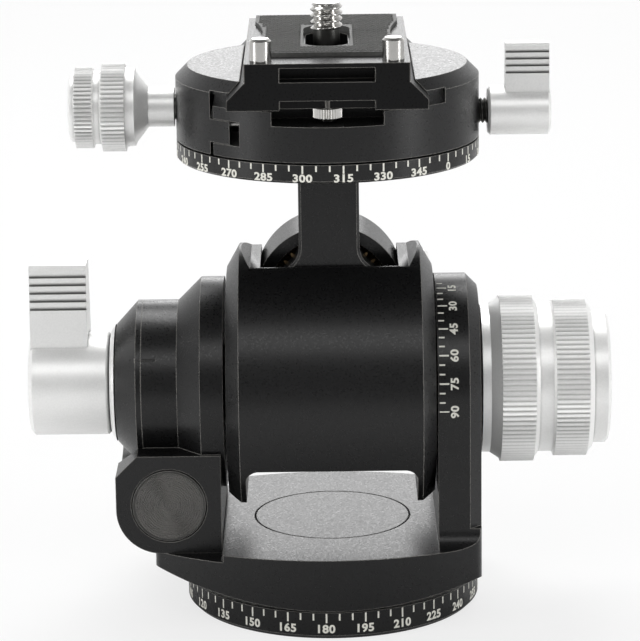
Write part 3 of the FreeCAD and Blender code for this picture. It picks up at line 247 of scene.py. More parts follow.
def remapped(tree, value, low, high, to_low, to_high):
    ranged = tree.nodes.new("ShaderNodeMapRange")
    ranged.inputs["From Min"].default_value = low
    ranged.inputs["From Max"].default_value = high
    ranged.inputs["To Min"].default_value = to_low
    ranged.inputs["To Max"].default_value = to_high
    tree.links.new(value, ranged.inputs["Value"])
    return ranged.outputs["Result"]


def mixed_color(tree, factor, first, second):
    """A colour between two, each a fixed colour or the output of another node."""
    mix = tree.nodes.new("ShaderNodeMix")
    mix.data_type = "RGBA"
    tree.links.new(factor, mix.inputs[0])
    for socket, color in ((mix.inputs[6], first), (mix.inputs[7], second)):
        if isinstance(color, bpy.types.NodeSocket):
            tree.links.new(color, socket)
        else:
            socket.default_value = (*color, 1.0)
    return mix.outputs[2]


def edge_normal(tree, radius):
    """A normal that runs round machined edges."""
    bevel = tree.nodes.new("ShaderNodeBevel")
    bevel.samples = 4
    bevel.inputs["Radius"].default_value = radius
    return bevel.outputs["Normal"]


def edge_mask(tree, rounded):
    """Where the painted edge highlight goes: one on a machined edge and nothing on a flat."""
    facing = tree.nodes.new("ShaderNodeNewGeometry")
    dot = tree.nodes.new("ShaderNodeVectorMath")
    dot.operation = "DOT_PRODUCT"
    tree.links.new(rounded, dot.inputs[0])
    tree.links.new(facing.outputs["Normal"], dot.inputs[1])
    return remapped(tree, dot.outputs["Value"], 0.985, 0.90, 0.0, 1.0)


def in_hollows(tree, color, reach, depth):
    """Painted shade: a colour made darker where the surface folds into itself within a short reach, standing
    in for the shade in crevices.
    """
    open_sky = tree.nodes.new("ShaderNodeAmbientOcclusion")
    open_sky.samples = 8
    open_sky.inputs["Distance"].default_value = reach
    factor = remapped(tree, open_sky.outputs["AO"], 0.35, 0.95, 0.0, 1.0)
    shade = mixed_color(tree, factor, (depth, depth, depth), (1.0, 1.0, 1.0))
    product = tree.nodes.new("ShaderNodeMix")
    product.data_type = "RGBA"
    product.blend_type = "MULTIPLY"
    product.inputs[0].default_value = 1.0
    tree.links.new(color, product.inputs[6])
    tree.links.new(shade, product.inputs[7])
    return product.outputs[2]


def blasted(tree, shader, height, distance, scale, normal=None):
    """Fine bead-blasted grain on the surface."""
    bump = tree.nodes.new("ShaderNodeBump")
    bump.inputs["Strength"].default_value = height
    bump.inputs["Distance"].default_value = distance
    tree.links.new(object_noise(tree, scale), bump.inputs["Height"])
    if normal is not None:
        tree.links.new(normal, bump.inputs["Normal"])
    tree.links.new(bump.outputs["Normal"], shader.inputs["Normal"])


def black_anodising(finish, name, gloss):
    material, tree, shader = new_material(name)
    shader.inputs["Specular IOR Level"].default_value = gloss
    rounded = edge_normal(tree, finish.edge_radius)
    grain = object_noise(tree, 2600.0, 2.0)
    dark = tuple(0.7 * c for c in finish.black_color)
    light = tuple(1.5 * c for c in finish.black_color)
    body = mixed_color(tree, grain, dark, light)
    # Painted highlight: machined edges get a lighter colour, as if they caught the lamps
    edge_highlighted = mixed_color(tree, edge_mask(tree, rounded), body, finish.black_edge_color)
    tree.links.new(edge_highlighted, shader.inputs["Base Color"])
    tree.links.new(remapped(tree, grain, 0.3, 0.7, 0.25, 0.40), shader.inputs["Roughness"])
    blasted(tree, shader, 0.35, 0.00003, 2600.0, rounded)
    return material


def silver_anodising(finish):
    material, tree, shader = new_material("silver_anodised_finish")
    shader.inputs["Metallic"].default_value = 0.45
    rounded = edge_normal(tree, 0.3 * finish.edge_radius)
    grain = object_noise(tree, 3000.0, 2.0)
    dark = tuple(0.93 * c for c in finish.silver_color)
    light = tuple(1.07 * c for c in finish.silver_color)
    body = mixed_color(tree, grain, dark, light)
    # Painted shade: the crevices of knurls and lever ridges are darkened in the silver's colour
    tree.links.new(in_hollows(tree, body, 0.6 * MM, 0.22), shader.inputs["Base Color"])
    tree.links.new(remapped(tree, grain, 0.3, 0.7, 0.32, 0.45), shader.inputs["Roughness"])
    blasted(tree, shader, 0.2, 0.00003, 3600.0, rounded)
    return material


def bright_metal(name, color, rough_low, rough_high):
    """A turned metal with a fine change of gloss."""
    material, tree, shader = new_material(name)
    shader.inputs["Metallic"].default_value = 1.0
    grain = object_noise(tree, 900.0)
    dark = tuple(0.92 * c for c in color)
    tree.links.new(mixed_color(tree, grain, dark, color), shader.inputs["Base Color"])
    tree.links.new(remapped(tree, grain, 0.3, 0.7, rough_low, rough_high), shader.inputs["Roughness"])
    return material


def dull_solid(name, dark, light, scale, rough, height):
    """A plain moulded or painted surface with a fine grain."""
    material, tree, shader = new_material(name)
    shader.inputs["Roughness"].default_value = rough
    grain = object_noise(tree, scale)
    tree.links.new(mixed_color(tree, grain, dark, light), shader.inputs["Base Color"])
    blasted(tree, shader, height, 0.00003, scale)
    return material


def make_finishes(finish):
    """The record's slots and the finish that each gets."""
    return {
        "black_anodised": black_anodising(finish, "black_anodised_finish", 0.36),
        "silver_anodised": silver_anodising(finish),
        "steel": bright_metal("turned_steel_finish", (0.62, 0.61, 0.59), 0.08, 0.18),
        "dark_steel": bright_metal("black_oxide_steel_finish", (0.10, 0.10, 0.095), 0.30, 0.42),
        "brass": bright_metal("machined_brass_finish", tuple(finish.brass_color), 0.25, 0.38),
        "bronze": bright_metal("bearing_bronze_finish", (0.55, 0.36, 0.19), 0.35, 0.50),
        "grip_rubber": dull_solid("grip_rubber_finish", (0.035, 0.035, 0.034), (0.12, 0.12, 0.115),
                                  1500.0, 0.62, 0.3),
        "brake_pad": dull_solid("brake_pad_finish", (0.62, 0.61, 0.56), (0.70, 0.69, 0.64), 700.0, 0.5, 0.1),
    }


def finish_of(slot):
    """The finish already made for a slot; making the finishes is the first operator."""
    names = {
        "black_anodised": "black_anodised_finish",
        "silver_anodised": "silver_anodised_finish",
        "steel": "turned_steel_finish",
        "dark_steel": "black_oxide_steel_finish",
        "grip_rubber": "grip_rubber_finish",
    }
    return bpy.data.materials[names[slot]]


def scale_paint():
    if "scale_paint" in bpy.data.materials:
        return bpy.data.materials["scale_paint"]
    color = tuple(bpy.context.scene.head_scales.paint_color)
    dark = tuple(0.88 * c for c in color)
    return dull_solid("scale_paint", dark, color, 1800.0, 0.55, 0.1)


# Meshes

def new_object(name, mesh):
    piece = bpy.data.objects.new(name, mesh)
    bpy.context.scene.collection.objects.link(piece)
    return piece


def finished_piece(name, mesh, material, body):
    """Links a finished mesh at the origin, gives it its material and says which body it rides on."""
    mesh.name = name
    mesh.materials.clear()
    mesh.materials.append(material)
    piece = new_object(name, mesh)
    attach(piece, body)
    return piece


def mesh_from(name, points, faces, smooth_angle=TURNED_ANGLE):
    mesh = bpy.data.meshes.new(name)
    mesh.from_pydata([tuple(p) for p in points], [], faces)
    mesh.validate()
    mesh.shade_smooth()
    mesh.set_sharp_from_angle(angle=smooth_angle)
    return mesh


def evaluated_mesh(piece):
    """The plain mesh that a piece's modifiers make; the piece itself is then removed."""
    bpy.context.view_layer.update()
    graph = bpy.context.evaluated_depsgraph_get()
    mesh = bpy.data.meshes.new_from_object(piece.evaluated_get(graph))
    bpy.data.objects.remove(piece)
    return mesh


def smooth_copy(source, name):
    """A copy of a CAD mesh with its loose triangles merged, smooth where the surface is curved."""
    work = bmesh.new()
    work.from_mesh(source)
    bmesh.ops.remove_doubles(work, verts=work.verts, dist=MERGE_DISTANCE)
    work.verts.index_update()
    points = [vertex.co.copy() for vertex in work.verts]
    faces = [tuple(vertex.index for vertex in face.verts) for face in work.faces]
    work.free()
    return mesh_from(name, points, faces, SHARP_ANGLE)


def lathe_rows(rows, turn_steps, z_of_row):
    """Points and faces of a closed turned skin, from one function of the angle for each ring."""
    points = []
    for radius_at, z in zip(rows, z_of_row):
        for i in range(turn_steps):
            a = 2 * math.pi * i / turn_steps
            r = radius_at(a)
            points.append(Vector((r * math.cos(a), r * math.sin(a), z)))
    faces = []
    for row in range(len(rows) - 1):
        for i in range(turn_steps):
            j = (i + 1) % turn_steps
            low = row * turn_steps
            faces.append((low + i, low + j, low + turn_steps + j, low + turn_steps + i))
    faces.append(tuple(reversed(range(turn_steps))))
    top = (len(rows) - 1) * turn_steps
    faces.append(tuple(range(top, top + turn_steps)))
    return points, faces


def thread_radius(z, angle, pitch, outer, depth):
    """Radius of a V thread with a narrow flat crest at a height and an angle."""
    share = (z / pitch - angle / (2 * math.pi)) % 1.0
    away = abs(share - 0.5) * 2.0
    rise = min(1.0, max(0.0, (1.0 - away) * FLANK_SLOPE - ROOT_SHARE))
    return outer - depth * (1.0 - rise)


def threaded_rows(z0, z1, pitch, outer, depth, run_out):
    """Rows of a thread from z0 to z1 that fades into its root over run_out at the top."""
    count = int((z1 - z0) / pitch * ROWS_PER_PITCH)
    rows = []
    heights = []
    for i in range(count + 1):
        z = z0 + (z1 - z0) * i / count
        limit = outer - max(0.0, z - (z1 - run_out)) * RUN_OUT_SLOPE

        def radius_at(angle, z=z, limit=limit):
            return min(limit, thread_radius(z, angle, pitch, outer, depth))
        rows.append(radius_at)
        heights.append(z)
    return rows, heights


def plain_rows(profile):
    """Rows of plain radius from a list of (height, radius)."""
    rows = [lambda angle, r=r: r for z, r in profile]
    return rows, [z for z, r in profile]


# Geometry Nodes

def named_input(tree, name, kind):
    return tree.interface.new_socket(name=name, in_out="INPUT", socket_type=kind)


def math_node(tree, operation, first, second=None):
    node = tree.nodes.new("ShaderNodeMath")
    node.operation = operation
    for socket, value in ((node.inputs[0], first), (node.inputs[1], second)):
        if isinstance(value, bpy.types.NodeSocket):
            tree.links.new(value, socket)
        elif value is not None:
            socket.default_value = value
    return node.outputs[0]


def set_inputs(modifier, values):
    """Gives a Geometry Nodes modifier its values by each socket's identifier."""
    for item in modifier.node_group.interface.items_tree:
        if item.item_type == "SOCKET" and item.in_out == "INPUT" and item.name in values:
            modifier[item.identifier] = values[item.name]


def new_geometry_tree(name):
    tree = bpy.data.node_groups.new(name, "GeometryNodeTree")
    tree.interface.new_socket(name="Geometry", in_out="OUTPUT", socket_type="NodeSocketGeometry")
    named_input(tree, "Geometry", "NodeSocketGeometry")
    return tree


def degree_marks_tree():
    """Marks hanging from a height round a cylinder about Z, long at every so many, short between."""
    tree = new_geometry_tree("degree_marks")
    for name in ("Radius", "First Angle", "Step Angle", "Long Length", "Short Length", "Width",
                 "Thickness", "Top"):
        named_input(tree, name, "NodeSocketFloat")
    for name in ("Count", "Long Every", "Long Offset"):
        named_input(tree, name, "NodeSocketInt")
    named_input(tree, "Paint", "NodeSocketMaterial")
    given = tree.nodes.new("NodeGroupInput").outputs
    line = tree.nodes.new("GeometryNodeMeshLine")
    tree.links.new(given["Count"], line.inputs["Count"])
    index = tree.nodes.new("GeometryNodeInputIndex").outputs[0]
    steps = math_node(tree, "MULTIPLY", index, given["Step Angle"])
    turned = math_node(tree, "ADD", given["First Angle"], steps)
    shifted = math_node(tree, "ADD", index, given["Long Offset"])
    left_over = math_node(tree, "MODULO", shifted, given["Long Every"])
    is_long = math_node(tree, "LESS_THAN", left_over, 0.5)
    extra = math_node(tree, "SUBTRACT", given["Long Length"], given["Short Length"])
    length = math_node(tree, "ADD", given["Short Length"], math_node(tree, "MULTIPLY", is_long, extra))
    x = math_node(tree, "MULTIPLY", given["Radius"], math_node(tree, "SINE", turned))
    y = math_node(tree, "MULTIPLY", given["Radius"],
                  math_node(tree, "MULTIPLY", math_node(tree, "COSINE", turned), -1.0))
    z = math_node(tree, "SUBTRACT", given["Top"], math_node(tree, "MULTIPLY", length, 0.5))
    place = tree.nodes.new("ShaderNodeCombineXYZ")
    for value, socket in ((x, 0), (y, 1), (z, 2)):
        tree.links.new(value, place.inputs[socket])
    moved = tree.nodes.new("GeometryNodeSetPosition")
    tree.links.new(line.outputs["Mesh"], moved.inputs["Geometry"])
    tree.links.new(place.outputs[0], moved.inputs["Position"])
    stroke = tree.nodes.new("GeometryNodeMeshCube")
    stroke.inputs["Size"].default_value = (1.0, 1.0, 1.0)
    size = tree.nodes.new("ShaderNodeCombineXYZ")
    for value, socket in ((given["Width"], 0), (given["Thickness"], 1), (length, 2)):
        tree.links.new(value, size.inputs[socket])
    turn = tree.nodes.new("ShaderNodeCombineXYZ")
    tree.links.new(turned, turn.inputs[2])
    copies = tree.nodes.new("GeometryNodeInstanceOnPoints")
    tree.links.new(moved.outputs["Geometry"], copies.inputs["Points"])
    tree.links.new(stroke.outputs["Mesh"], copies.inputs["Instance"])
    tree.links.new(turn.outputs[0], copies.inputs["Rotation"])
    tree.links.new(size.outputs[0], copies.inputs["Scale"])
    close_tree(tree, copies.outputs["Instances"], given["Paint"])
    return tree


def woven_relief_tree():
    """A raised thread on every point, turned by the point's own slant."""
    tree = new_geometry_tree("woven_relief")
    for name in ("Length", "Width", "Height"):
        named_input(tree, name, "NodeSocketFloat")
    named_input(tree, "Rubber", "NodeSocketMaterial")
    given = tree.nodes.new("NodeGroupInput").outputs
    thread = tree.nodes.new("GeometryNodeMeshUVSphere")
    thread.inputs["Segments"].default_value = 6
    thread.inputs["Rings"].default_value = 4
    thread.inputs["Radius"].default_value = 0.5
    slant = tree.nodes.new("GeometryNodeInputNamedAttribute")
    slant.inputs["Name"].default_value = "slant"
    turn = tree.nodes.new("ShaderNodeCombineXYZ")
    tree.links.new(slant.outputs["Attribute"], turn.inputs[2])
    size = tree.nodes.new("ShaderNodeCombineXYZ")
    for name, socket in (("Length", 0), ("Width", 1), ("Height", 2)):
        tree.links.new(given[name], size.inputs[socket])
    copies = tree.nodes.new("GeometryNodeInstanceOnPoints")
    tree.links.new(given["Geometry"], copies.inputs["Points"])
    tree.links.new(thread.outputs["Mesh"], copies.inputs["Instance"])
    tree.links.new(turn.outputs[0], copies.inputs["Rotation"])
    tree.links.new(size.outputs[0], copies.inputs["Scale"])
    close_tree(tree, copies.outputs["Instances"], given["Rubber"])
    return tree


def close_tree(tree, instances, material):
    """The last two nodes of each tree: real copies, then their material."""
    realize = tree.nodes.new("GeometryNodeRealizeInstances")
    tree.links.new(instances, realize.inputs[0])
    coat = tree.nodes.new("GeometryNodeSetMaterial")
    tree.links.new(realize.outputs[0], coat.inputs["Geometry"])
    tree.links.new(material, coat.inputs["Material"])
    output = tree.nodes.new("NodeGroupOutput")
    tree.links.new(coat.outputs["Geometry"], output.inputs[0])


def made_by_nodes(name, tree, values, points=((0.0, 0.0, 0.0),), slants=None):
    """Runs a tree on a few points and returns the mesh it makes."""
    seed = bpy.data.meshes.new(name)
    seed.from_pydata([tuple(p) for p in points], [], [])
    if slants is not None:
        attribute = seed.attributes.new("slant", "FLOAT", "POINT")
        attribute.data.foreach_set("value", slants)
    piece = new_object(name, seed)
    modifier = piece.modifiers.new("repeat", "NODES")
    modifier.node_group = tree
    set_inputs(modifier, values)
    return evaluated_mesh(piece)


# Degree scales

def degree_marks(name, radius, first, step, count, long_offset, long_length, short_length, top):
    scales = bpy.context.scene.head_scales
    tree = bpy.data.node_groups.get("degree_marks") or degree_marks_tree()
    values = {
        "Radius": radius, "First Angle": first, "Step Angle": step, "Count": count,
        "Long Every": 3, "Long Offset": long_offset, "Long Length": long_length,
        "Short Length": short_length, "Width": scales.stroke_width,
        "Thickness": 2 * scales.stroke_proud, "Top": top, "Paint": scale_paint(),
    }
    return made_by_nodes(name, tree, values)


def text_mesh(text):
    """Plain type one unit high as a flat solid, before it gets its real size."""
    curve = bpy.data.curves.new("number", "FONT")
    curve.body = text
    curve.size = 1.0
    curve.offset = FIGURE_WEIGHT
    curve.space_character = FIGURE_SPACING
    curve.resolution_u = CURVE_STEPS
    curve.extrude = 1.0
    return evaluated_mesh(new_object("number", curve))


def spread(mesh, axis):
    values = [vertex.co[axis] for vertex in mesh.vertices]
    return min(values), max(values)


def number_mesh(text, height):
    """One number as a thin solid, centred on its own origin, reading along X with its top along Y."""
    scales = bpy.context.scene.head_scales
    sample = text_mesh("000")
    sample_wide = spread(sample, 0)[1] - spread(sample, 0)[0]
    sample_high = spread(sample, 1)[1] - spread(sample, 1)[0]
    bpy.data.meshes.remove(sample)
    wide = (3 * scales.figure_width) / sample_wide
    high = height / sample_high
    mesh = text_mesh(text)
    left, right = spread(mesh, 0)
    low, top = spread(mesh, 1)
    for vertex in mesh.vertices:
        x, y, z = vertex.co
        vertex.co = Vector(((x - 0.5 * (left + right)) * wide, (y - 0.5 * (low + top)) * high,
                            z * scales.stroke_proud))
    return mesh


def joined(name, meshes):
    """Many small meshes as one."""
    points = []
    faces = []
    for mesh in meshes:
        start = len(points)
        points.extend(v.co.copy() for v in mesh.vertices)
        faces.extend(tuple(start + i for i in polygon.vertices) for polygon in mesh.polygons)
        bpy.data.meshes.remove(mesh)
    whole = bpy.data.meshes.new(name)
    whole.from_pydata([tuple(p) for p in points], [], faces)
    return whole


def wrapped(mesh, radius, angle, height, flat_from=None):
    """Bends a flat number round a cylinder about Z at an angle from the front and at a height.
    Past the angle flat_from the surface runs on straight, as the arm's front does."""
    for vertex in mesh.vertices:
        along, up, out = vertex.co
        a = angle + along / radius
        r = radius + out
        if flat_from is not None and a < flat_from:
            vertex.co = Vector((-r, radius * (flat_from - a), height + up))
        else:
            vertex.co = Vector((r * math.sin(a), -r * math.cos(a), height + up))
    return mesh


def arm_frame():
    """Turns a scale made about Z into one about the tilt axis, hanging from the arm's inner edge."""
    turn = Matrix(((0, 0, -1), (1, 0, 0), (0, -1, 0))).to_4x4()
    return Matrix.Translation((0, 0, TILT_AXIS_Z)) @ turn


class HEAD_OT_finishes(bpy.types.Operator):
    """Gives every CAD node the finish of its material slot, and the release plate a matt one"""
    bl_idname = "head.finishes"
    bl_label = "Metal and rubber finishes"

    def execute(self, context):
        finishes = make_finishes(context.scene.head_finish)
        matt = black_anodising(context.scene.head_finish, "black_anodised_matt_finish", 0.14)
        for name, node in frame["nodes"].items():
            slot = SLOT_OF_NODE[name]
            if slot not in finishes:
                raise RuntimeError("no finish for the slot " + slot)
            node.data.materials.clear()
            node.data.materials.append(matt if name in MATT_NODES else finishes[slot])
        return {"FINISHED"}


class HEAD_OT_smooth_skins(bpy.types.Operator):
    """Shows each CAD node but the camera screw and the lever stud as a merged copy that is shaded smooth
    between its real edges
    """
    bl_idname = "head.smooth_skins"
    bl_label = "Smooth skins"

    def execute(self, context):
        for name, node in frame["nodes"].items():
            if name in REMADE_NODES:
                continue
            skin = smooth_copy(node.data, name + "_skin")
            piece = finished_piece(name + "_skin", skin, node.data.materials[0], BODY_OF_NODE[name])
            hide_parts(name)
        return {"FINISHED"}


class HEAD_OT_base_scale(bpy.types.Operator):
    """Marks and numbers round the base ring"""
    bl_idname = "head.base_scale"
    bl_label = "Base scale"

    def execute(self, context):
        scales = context.scene.head_scales
        marks = degree_marks("base_scale_marks", BASE_RING_R, BASE_ZERO, scales.step_angle, RING_MARKS, 0,
                             BASE_LONG_MARK, BASE_SHORT_MARK, BASE_MARKS_TOP)
        finished_piece("base_scale_marks", marks, scale_paint(), "base")
        numbers = []
        for value in range(0, 360, scales.number_step):
            flat = number_mesh(str(value), scales.base_number_height)
            numbers.append(wrapped(flat, BASE_RING_R, BASE_ZERO + math.radians(value), BASE_NUMBERS_Z))
        finished_piece("base_scale_numbers", joined("base_scale_numbers", numbers), scale_paint(), "base")
        return {"FINISHED"}


class HEAD_OT_top_scale(bpy.types.Operator):
    """Marks and numbers round the ring under the clamp"""
    bl_idname = "head.top_scale"
    bl_label = "Top scale"

    def execute(self, context):
        scales = context.scene.head_scales
        marks = degree_marks("top_scale_marks", TOP_RING_R, TOP_ZERO, scales.step_angle, RING_MARKS, 0,
                             TOP_LONG_MARK, TOP_SHORT_MARK, TOP_MARKS_TOP)
        finished_piece("top_scale_marks", marks, scale_paint(), "stem")
        numbers = []
        for value in range(0, 360, scales.number_step):
            flat = number_mesh(str(value), scales.top_number_height)
            numbers.append(wrapped(flat, TOP_RING_R, TOP_ZERO + math.radians(value), TOP_NUMBERS_Z))
        finished_piece("top_scale_numbers", joined("top_scale_numbers", numbers), scale_paint(), "stem")
        return {"FINISHED"}


class HEAD_OT_tilt_scale(bpy.types.Operator):
    """Marks and numbers on the right arm's rim, for the tilt"""
    bl_idname = "head.tilt_scale"
    bl_label = "Tilt scale"

    def execute(self, context):
        scales = context.scene.head_scales
        start_angle = -(math.radians(ARM_FIRST_MARK) + ARM_ZERO)
        marks = degree_marks("tilt_scale_marks", ARM_R, start_angle, -scales.step_angle, ARM_MARKS, 2,
                             ARM_LONG_MARK, ARM_SHORT_MARK, -(ARM_EDGE_X + ARM_MARK_INSET))
        marks.transform(arm_frame())
        finished_piece("tilt_scale_marks", marks, scale_paint(), "frame")
        numbers = []
        for value in range(15, 91, scales.number_step):
            flat = number_mesh(str(value), scales.arm_number_height)
            angle = -(math.radians(value) + ARM_ZERO)
            bent = wrapped(flat, ARM_R, angle, -ARM_NUMBERS_X, ARM_FLAT_FROM)
            bent.transform(arm_frame())
            numbers.append(bent)
        finished_piece("tilt_scale_numbers", joined("tilt_scale_numbers", numbers), scale_paint(), "frame")
        return {"FINISHED"}


class HEAD_OT_camera_screw(bpy.types.Operator):
    """The captive 1/4 inch camera screw with its thread, neck and head"""
    bl_idname = "head.camera_screw"
    bl_label = "Camera screw"

    def execute(self, context):
        threads = context.scene.head_threads
        rows, heights = threaded_rows(THREAD_START, SCREW_TOP, threads.camera_pitch,
                                      threads.camera_radius, CAMERA_THREAD_DEPTH, CAMERA_RUN_OUT)
        points, faces = lathe_rows(rows, CAMERA_TURN_STEPS, heights)
        mesh = mesh_from("camera_screw_threaded", points, faces)
        screw = finished_piece("camera_screw_threaded", mesh, finish_of("steel"), "camera_fixing")
        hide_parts("camera_screw")
        rim = SCREW_HEAD_R - 0.35 * MM
        neck_rows, neck_z = plain_rows([
            (SCREW_HEAD_LOW, rim), (SCREW_HEAD_LOW + SCREW_HEAD_BREAK, SCREW_HEAD_R),
            (SCREW_HEAD_HIGH - SCREW_HEAD_BREAK, SCREW_HEAD_R), (SCREW_HEAD_HIGH, rim),
            (SCREW_HEAD_HIGH + 0.01 * MM, SCREW_NECK_R), (THREAD_START - 0.02 * MM, SCREW_NECK_R)])
        points, faces = lathe_rows(neck_rows, CAMERA_TURN_STEPS, neck_z)
        neck = mesh_from("camera_screw_neck", points, faces)
        finished_piece("camera_screw_neck", neck, finish_of("dark_steel"), "camera_fixing")
        return {"FINISHED"}


class HEAD_OT_lever_stud(bpy.types.Operator):
    """The threaded stud that shows between the clamp and its lock lever"""
    bl_idname = "head.lever_stud"
    bl_label = "Lever stud"

    def execute(self, context):
        threads = context.scene.head_threads
        rows, heights = threaded_rows(STUD_START, STUD_END, threads.stud_pitch, threads.stud_radius,
                                      STUD_THREAD_DEPTH, STUD_RUN_OUT)
        points, faces = lathe_rows(rows, STUD_TURN_STEPS, heights)
        mesh = mesh_from("top_pan_stud_threaded", points, faces)
        mesh.transform(Matrix.Translation((0, 0, STUD_Z)) @ Matrix.Rotation(math.radians(90), 4, "Y"))
        stud = finished_piece("top_pan_stud_threaded", mesh, finish_of("dark_steel"), "top_lock")
        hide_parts("top_pan_stud")
        return {"FINISHED"}


def pad_half_width(y):
    """Half the pad's width at a place along it: its sides are drawn in to a waist."""
    middle = 0.5 * (PAD_FRONT + PAD_BACK)
    reach = PAD_HALF - PAD_WAIST + PAD_WAIST_R
    return min(PAD_HALF, reach - math.sqrt(PAD_WAIST_R ** 2 - (y - middle) ** 2))


def weave_points(pad):
    """Where the pad's raised threads stand, and how each is turned."""
    points = []
    slants = []
    rows = int((PAD_BACK - PAD_FRONT - 2 * WEAVE_MARGIN) / pad.row_pitch)
    for row in range(rows + 1):
        y = PAD_FRONT + WEAVE_MARGIN + row * pad.row_pitch
        half = pad_half_width(y) - WEAVE_MARGIN
        columns = int(half / pad.thread_pitch)
        for column in range(-columns, columns + 1):
            x = (column + 0.5 * (row % 2)) * pad.thread_pitch
            in_slot = abs(x) < SLOT_HALF + WEAVE_MARGIN and abs(y) < SLOT_RUN + WEAVE_MARGIN
            if abs(x) > half or in_slot:
                continue
            points.append((x, y, PAD_TOP))
            block = (row // 2 + (column // 3)) % 2
            slants.append(pad.slant if block else -pad.slant)
    return points, slants


class HEAD_OT_pad_weave(bpy.types.Operator):
    """The raised weave on the pad that the camera stands on"""
    bl_idname = "head.pad_weave"
    bl_label = "Pad weave"

    def execute(self, context):
        pad = context.scene.head_pad
        points, slants = weave_points(pad)
        values = {"Length": pad.thread_length, "Width": pad.thread_width,
                  "Height": 2 * pad.thread_height, "Rubber": finish_of("grip_rubber")}
        mesh = made_by_nodes("pad_weave", woven_relief_tree(), values, points, slants)
        mesh.shade_smooth()
        finished_piece("pad_weave", mesh, finish_of("grip_rubber"), "plate")
        return {"FINISHED"}


# Stage

def aim(place, target):
    return (Vector(target) - Vector(place)).to_track_quat("-Z", "Y").to_euler()


def softbox(name, setting, power):
    place, target, width, height = setting
    lamp = bpy.data.lights.new(name, "AREA")
    lamp.shape = "RECTANGLE"
    lamp.size = width
    lamp.size_y = height
    lamp.energy = power
    box = bpy.data.objects.new(name, lamp)
    box.location = place
    box.rotation_euler = aim(place, target)
    bpy.context.scene.collection.objects.link(box)
    return box


def white_world(surround):
    """White to the camera; on the head, a soft room that is darker in front and above."""
    world = bpy.data.worlds.new("white_room")
    world.use_nodes = True
    tree = world.node_tree
    tree.nodes.clear()
    light_path = tree.nodes.new("ShaderNodeLightPath")
    sent_on = math_node(tree, "MAXIMUM", light_path.outputs["Is Glossy Ray"],
                        light_path.outputs["Is Transmission Ray"])
    place = tree.nodes.new("ShaderNodeTexCoord")
    way = tree.nodes.new("ShaderNodeSeparateXYZ")
    tree.links.new(place.outputs["Generated"], way.inputs[0])
    behind = remapped(tree, way.outputs["Y"], -0.75, 0.35, 0.30, 1.0)
    above = remapped(tree, way.outputs["Z"], 0.30, 0.90, 1.0, 0.25)
    share = math_node(tree, "MULTIPLY", behind, above)
    in_metal = math_node(tree, "MULTIPLY", sent_on, surround)
    room = math_node(tree, "MULTIPLY", share, math_node(tree, "MAXIMUM", in_metal, surround * 0.85))
    strength = math_node(tree, "MAXIMUM", light_path.outputs["Is Camera Ray"], room)
    back = tree.nodes.new("ShaderNodeBackground")
    back.inputs["Color"].default_value = (1.0, 1.0, 1.0, 1.0)
    tree.links.new(strength, back.inputs["Strength"])
    output = tree.nodes.new("ShaderNodeOutputWorld")
    tree.links.new(back.outputs[0], output.inputs[0])
    return world


def floor_material():
    """White to the camera, with the head's soft shadow left in it."""
    material = bpy.data.materials.new("white_floor")
    material.use_nodes = True
    tree = material.node_tree
    tree.nodes.clear()
    light_path = tree.nodes.new("ShaderNodeLightPath")
    lit = tree.nodes.new("ShaderNodeBsdfDiffuse")
    lit.inputs["Color"].default_value = (0.8, 0.8, 0.8, 1.0)
    glow = tree.nodes.new("ShaderNodeEmission")
    glow.inputs["Color"].default_value = (1.0, 1.0, 1.0, 1.0)
    strength = math_node(tree, "MULTIPLY", light_path.outputs["Is Camera Ray"], 0.75)
    mix = tree.nodes.new("ShaderNodeMixShader")
    tree.links.new(strength, mix.inputs[0])
    tree.links.new(lit.outputs[0], mix.inputs[1])
    tree.links.new(glow.outputs[0], mix.inputs[2])
    output = tree.nodes.new("ShaderNodeOutputMaterial")
    tree.links.new(mix.outputs[0], output.inputs[0])
    return material


def card_material():
    """The bright card behind the head, white in the metals too."""
    material = bpy.data.materials.new("white_card")
    material.use_nodes = True
    tree = material.node_tree
    tree.nodes.clear()
    glow = tree.nodes.new("ShaderNodeEmission")
    glow.inputs["Color"].default_value = (1.0, 1.0, 1.0, 1.0)
    glow.inputs["Strength"].default_value = 1.0
    output = tree.nodes.new("ShaderNodeOutputMaterial")
    tree.links.new(glow.outputs[0], output.inputs[0])
    return material


def flat_sheet(name, corners, material):
    mesh = bpy.data.meshes.new(name)
    mesh.from_pydata(corners, [], [(0, 1, 2, 3)])
    mesh.materials.append(material)
    sheet = new_object(name, mesh)
    return sheet


def photo_camera():
    """The camera at the photograph's place, built from its yaw, pitch and roll."""
    ahead = Vector((math.sin(CAMERA_YAW) * math.cos(CAMERA_PITCH),
                    math.cos(CAMERA_YAW) * math.cos(CAMERA_PITCH), -math.sin(CAMERA_PITCH)))
    right = Vector((math.cos(CAMERA_YAW), -math.sin(CAMERA_YAW), 0.0))
    down = ahead.cross(right)
    rolled_right = math.cos(CAMERA_ROLL) * right + math.sin(CAMERA_ROLL) * down
    rolled_down = -math.sin(CAMERA_ROLL) * right + math.cos(CAMERA_ROLL) * down
    turn = Matrix((rolled_right, -rolled_down, -ahead)).transposed().to_4x4()
    data = bpy.data.cameras.new("photo_camera")
    data.sensor_fit = "HORIZONTAL"
    data.sensor_width = CAMERA_SENSOR
    data.lens = CAMERA_LENS
    data.clip_start = 0.01
    data.clip_end = 20.0
    camera = bpy.data.objects.new("photo_camera", data)
    camera.matrix_world = Matrix.Translation(CAMERA_PLACE) @ turn
    bpy.context.scene.collection.objects.link(camera)
    bpy.context.scene.camera = camera


